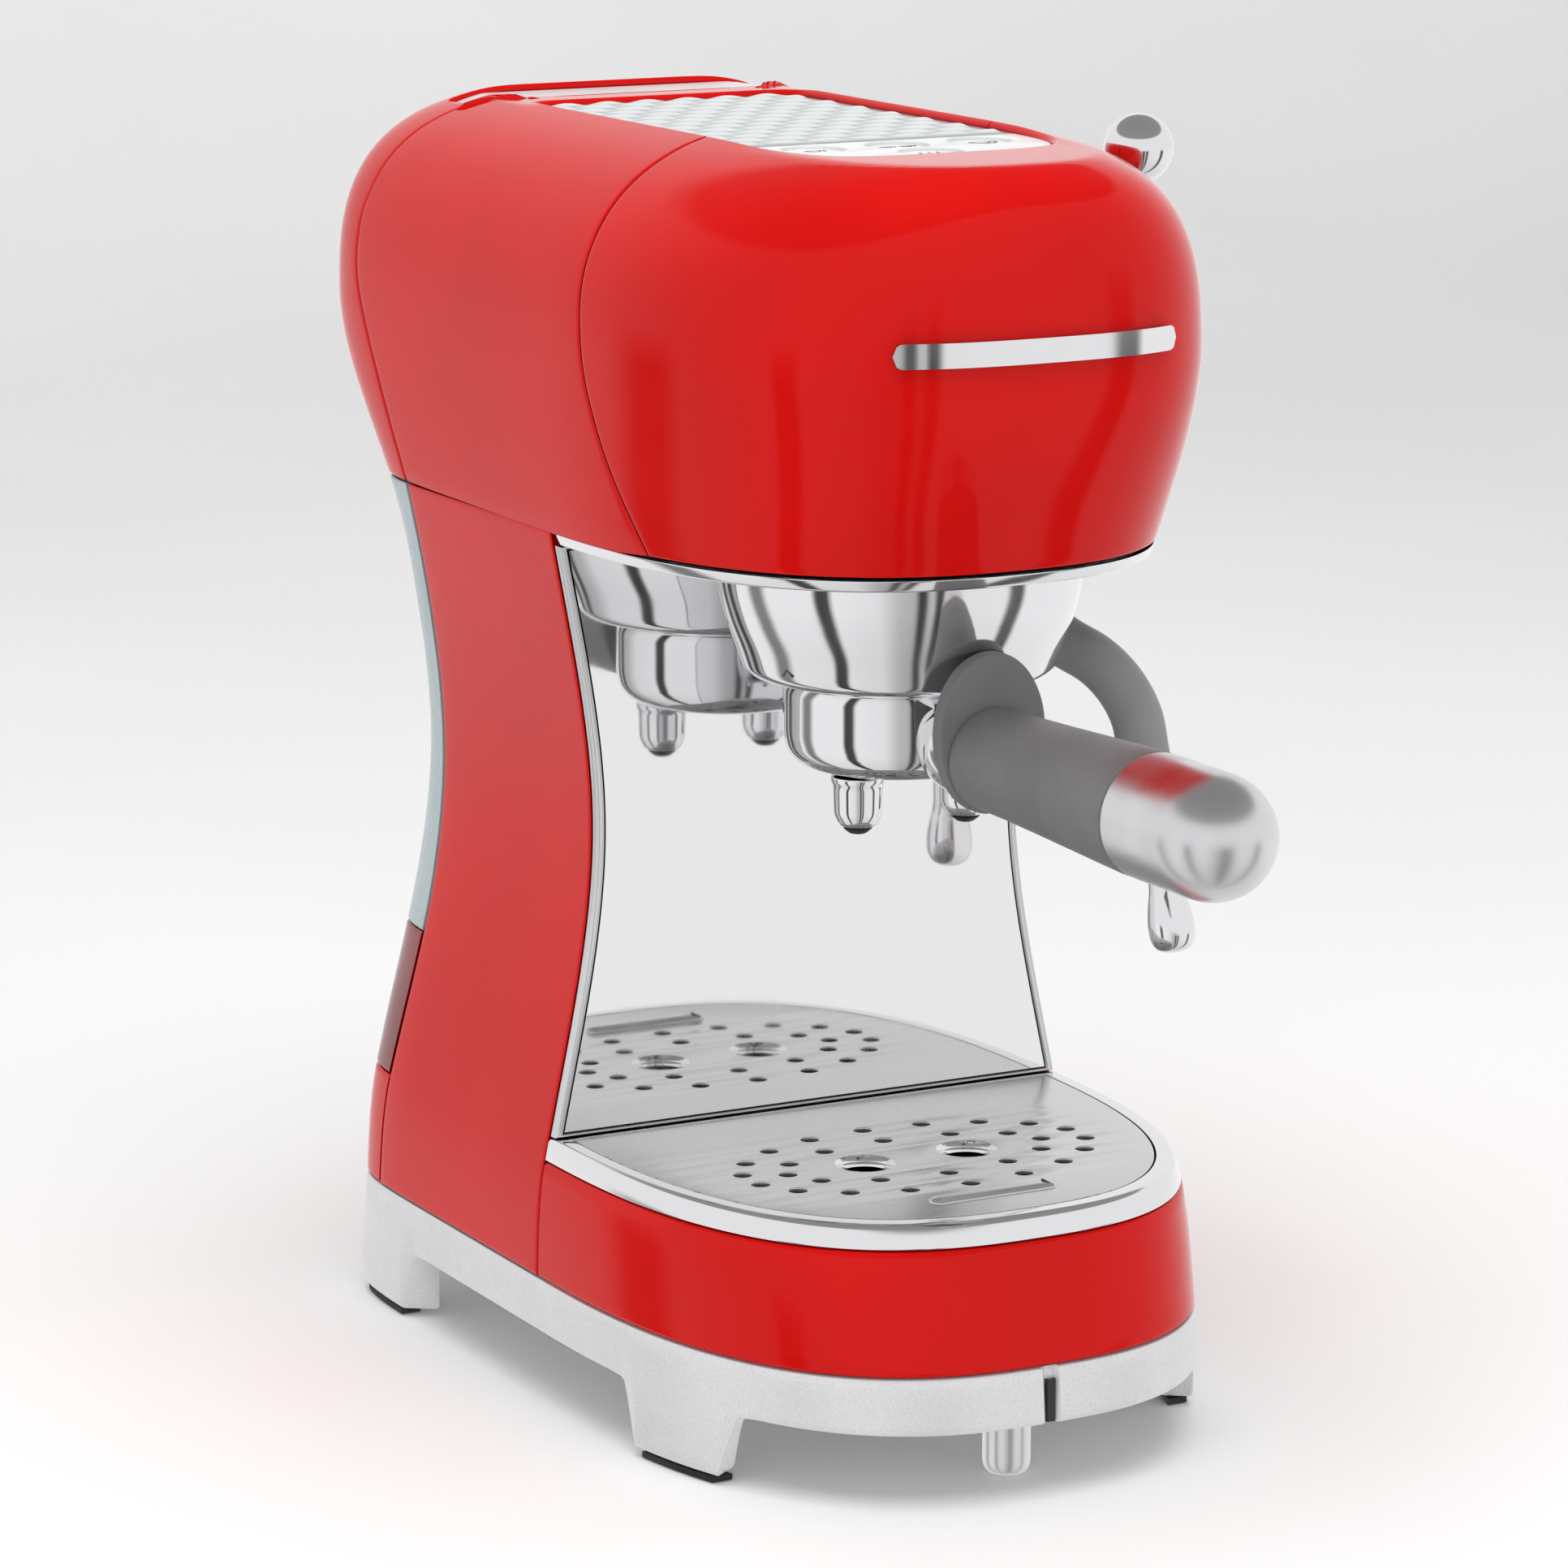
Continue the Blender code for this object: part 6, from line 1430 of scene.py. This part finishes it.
def soft_light(name, place, target, size, power, mirrored=True):
    """A rectangular softbox; with mirrored off it lights the piece but makes no reflection in it."""
    light = bpy.data.lights.new(name, "AREA")
    light.shape = "RECTANGLE"
    light.size, light.size_y = size
    light.energy = power
    obj = bpy.data.objects.new(name, light)
    bpy.context.scene.collection.objects.link(obj)
    obj.location = place
    obj.visible_glossy = mirrored
    obj.visible_camera = False
    look_at(obj, target)
    return obj


def make_stage(look):
    camera = bpy.data.cameras.new("view_camera")
    camera.lens = look.lens
    camera.sensor_width = 36.0
    obj = bpy.data.objects.new("view_camera", camera)
    bpy.context.scene.collection.objects.link(obj)
    obj.location = (-0.7081, SPLASH_Y - 1.3174, 0.4720)
    look_at(obj, (-0.00605, SPLASH_Y + 0.0032, 0.1550))
    bpy.context.scene.camera = obj

    side = np.linspace(-4.0, 4.0, 3)
    run = rounded([(-4.0, -0.0003, 0), (2.6, -0.0003, 1.2), (2.6, 1.6, 0)], 0.25, 24)
    points = np.array([[(x, y - SPLASH_Y, z) for x in side] for y, z in run])
    floor = make_object("stage_floor", [grid(points)], (0.0, -10.0, 10.0))
    floor.data.flip_normals()
    floor.data.materials.append(finish("pale_seamless_paper", {"Specular IOR Level": 0.0, "Roughness": 1.0}, [
        {"size": 400.0, "spans": [("Base Color", linear("#FBFBFB"), linear("#FEFEFE"))]}]))
    floor.visible_glossy = False

    make_surroundings(look)
    bpy.context.scene.view_settings.view_transform = "Standard"

    target = (0.0, SPLASH_Y, 0.18)
    soft_light("overhead_softbox", (-0.2, -0.3, 2.0), target, (1.8, 1.8), look.key, mirrored=False)
    soft_light("front_fill_softbox", (-1.2, -1.8, 1.2), target, (1.4, 1.4), look.front, mirrored=False)


# Reflected brightness round the studio, by degrees from the side the camera looks from: white cards
# with a few narrow black flags, which put the dark upright bands into chrome.
ROUND_STOPS = [(-180, 1.0), (-112, 1.0), (-106, 0.25), (-98, 0.25), (-92, 1.0), (-56, 1.0), (-53, 0.06),
               (-45, 0.08),
               (-41, 1.0), (-12, 0.92), (2, 0.60), (12, 0.52), (15, 0.05), (19, 0.08), (21, 0.55), (24, 0.60),
               (26, 0.05), (30, 0.08), (33, 0.92), (74, 0.96), (78, 0.15), (86, 0.12), (90, 1.0), (180, 1.0)]
FLAG_TOP_STOPS = [(0.0, 0.0), (0.43, 0.0), (0.48, 1.0), (1.0, 1.0)]
HEIGHT_STOPS = [(-90, 0.80), (-25, 1.0), (32, 1.0), (36, 0.34), (90, 0.30)]


def make_surroundings(look):
    """White room, dimmer overhead, with narrow black flags: a direction's brightness is the product of
    one curve round the room and one curve by height."""
    world = bpy.data.worlds.new("soft_surroundings")
    world.use_nodes = True
    tree = world.node_tree
    place = add(tree, "ShaderNodeTexCoord").outputs["Generated"]
    turned = add(tree, "ShaderNodeMapping", [("Vector", place)],
                 [("Rotation", (0.0, 0.0, math.radians(120.8)))])
    compass = add(tree, "ShaderNodeTexGradient", [("Vector", turned.outputs["Vector"])],
                  gradient_type="RADIAL")
    around = add(tree, "ShaderNodeValToRGB", [("Fac", compass.outputs["Fac"])],
                 stops=[(0.5 + angle / 360, grey(value)) for angle, value in ROUND_STOPS]).outputs["Color"]
    split = add(tree, "ShaderNodeSeparateXYZ", [("Vector", place)])
    height = add(tree, "ShaderNodeMapRange", [("Value", split.outputs["Z"])],
                 [("From Min", -1.0)]).outputs["Result"]
    level = add(tree, "ShaderNodeValToRGB", [("Fac", height)],
                stops=[(0.5 + 0.5 * math.sin(math.radians(angle)), grey(value)) for angle,
                       value in HEIGHT_STOPS])
    over_flags = add(tree, "ShaderNodeValToRGB", [("Fac", height)],
                     stops=[(position, grey(value)) for position, value in FLAG_TOP_STOPS])
    around = add(tree, "ShaderNodeMix", [(0, over_flags.outputs["Color"]), (6, around)], [(7, grey(0.95))],
                 data_type="RGBA").outputs[2]
    both = add(tree, "ShaderNodeMix", [(6, around), (7, level.outputs["Color"])], [(0, 1.0)],
               data_type="RGBA", blend_type="MULTIPLY")
    backdrop = tree.nodes["Background"]
    tree.links.new(both.outputs[2], backdrop.inputs["Color"])
    backdrop.inputs["Strength"].default_value = look.fill
    bpy.context.scene.world = world


# ---------------------------------------------------------------- settings, operators and panel
class EspressoLook(bpy.types.PropertyGroup):
    body_red: bpy.props.StringProperty(
        name="Body red", description="Lacquer colour of the body, as an sRGB hex value", default="#D0100D")
    body_red_deep: bpy.props.StringProperty(
        name="Body red, deep", description="Lacquer colour where the coat is thicker", default="#C90E0B")
    lens: bpy.props.FloatProperty(
        name="Lens", description="Focal length of the camera on a 36 mm sensor", default=136.1, min=20.0,
        unit="CAMERA")
    fill: bpy.props.FloatProperty(name="Surroundings", description="Brightness of the pale surroundings",
                                  default=1.0)
    key: bpy.props.FloatProperty(
        name="Overhead light", description="Power of the overhead softbox", default=30.0, subtype="POWER")
    front: bpy.props.FloatProperty(
        name="Front fill", description="Power of the front softbox", default=2.5, subtype="POWER")


PIECES = (
    ("base", "Base, front slit and front foot", make_base),
    ("tray", "Drip tray, rim and tub", make_tray),
    ("grille", "Drip grille with pressed cups", make_grille),
    ("column", "Column sides and backsplash", make_column),
    ("rear", "Rear skirt and water tank", make_rear),
    ("head", "Head covers, spine and trim", make_head),
    ("lid", "Tank lid", make_lid),
    ("badge", "Plain badge bar", make_badge),
    ("panel", "Embossed top panel", make_panel),
    ("buttons", "Buttons and their marks", make_buttons),
    ("group", "Brew group cover", make_group),
    ("portafilter", "Portafilter cup and spouts", make_portafilter),
    ("handle", "Portafilter handle", make_handle),
    ("lever", "Steam lever", make_lever),
    ("wand", "Steam wand", make_wand),
)


class ESPRESSO_OT_finishes(bpy.types.Operator):
    """Makes every finish and paints the CAD nodes that stay in view"""
    bl_idname = "espresso.finishes"
    bl_label = "Make finishes"

    def execute(self, context):
        make_finishes(context.scene.espresso_look)
        slots = {row["node"]: row["material_slot"] for row in frame["record"]["subparts"]}
        for name, obj in frame["nodes"].items():
            obj.data.materials.clear()
            obj.data.materials.append(FINISHES[slots[name]])
        return {"FINISHED"}


class ESPRESSO_OT_stage(bpy.types.Operator):
    """Makes the pale floor, the soft lights and the camera"""
    bl_idname = "espresso.stage"
    bl_label = "Make stage"

    def execute(self, context):
        make_stage(context.scene.espresso_look)
        return {"FINISHED"}


def piece_operator(key, label, maker):
    """An operator class for one piece or group of like pieces."""
    def execute(self, context):
        maker()
        return {"FINISHED"}

    return type(f"ESPRESSO_OT_{key}", (bpy.types.Operator,), {
        "__doc__": f"Makes: {label.lower()}", "bl_idname": f"espresso.{key}", "bl_label": label,
        "execute": execute})


OPERATORS = [ESPRESSO_OT_finishes] + [piece_operator(*row) for row in PIECES] + [ESPRESSO_OT_stage]


class ESPRESSO_PT_panel(bpy.types.Panel):
    """Lists the operators and the look's settings"""
    bl_idname = "ESPRESSO_PT_panel"
    bl_label = "Espresso machine"
    bl_space_type = "VIEW_3D"
    bl_region_type = "UI"
    bl_category = "Espresso"

    def draw(self, context):
        for name in EspressoLook.__annotations__:
            self.layout.prop(context.scene.espresso_look, name)
        for operator in OPERATORS:
            self.layout.operator(operator.bl_idname)


CLASSES = [EspressoLook] + OPERATORS + [ESPRESSO_PT_panel]


def register():
    for one in CLASSES:
        bpy.utils.register_class(one)
    bpy.types.Scene.espresso_look = bpy.props.PointerProperty(type=EspressoLook)


def unregister():
    del bpy.types.Scene.espresso_look
    for one in reversed(CLASSES):
        bpy.utils.unregister_class(one)


def main():
    register()
    bpy.ops.espresso.finishes()
    for key, _, _ in PIECES:
        getattr(bpy.ops.espresso, key)()
    bpy.ops.espresso.stage()


if __name__ == "__main__":
    main()
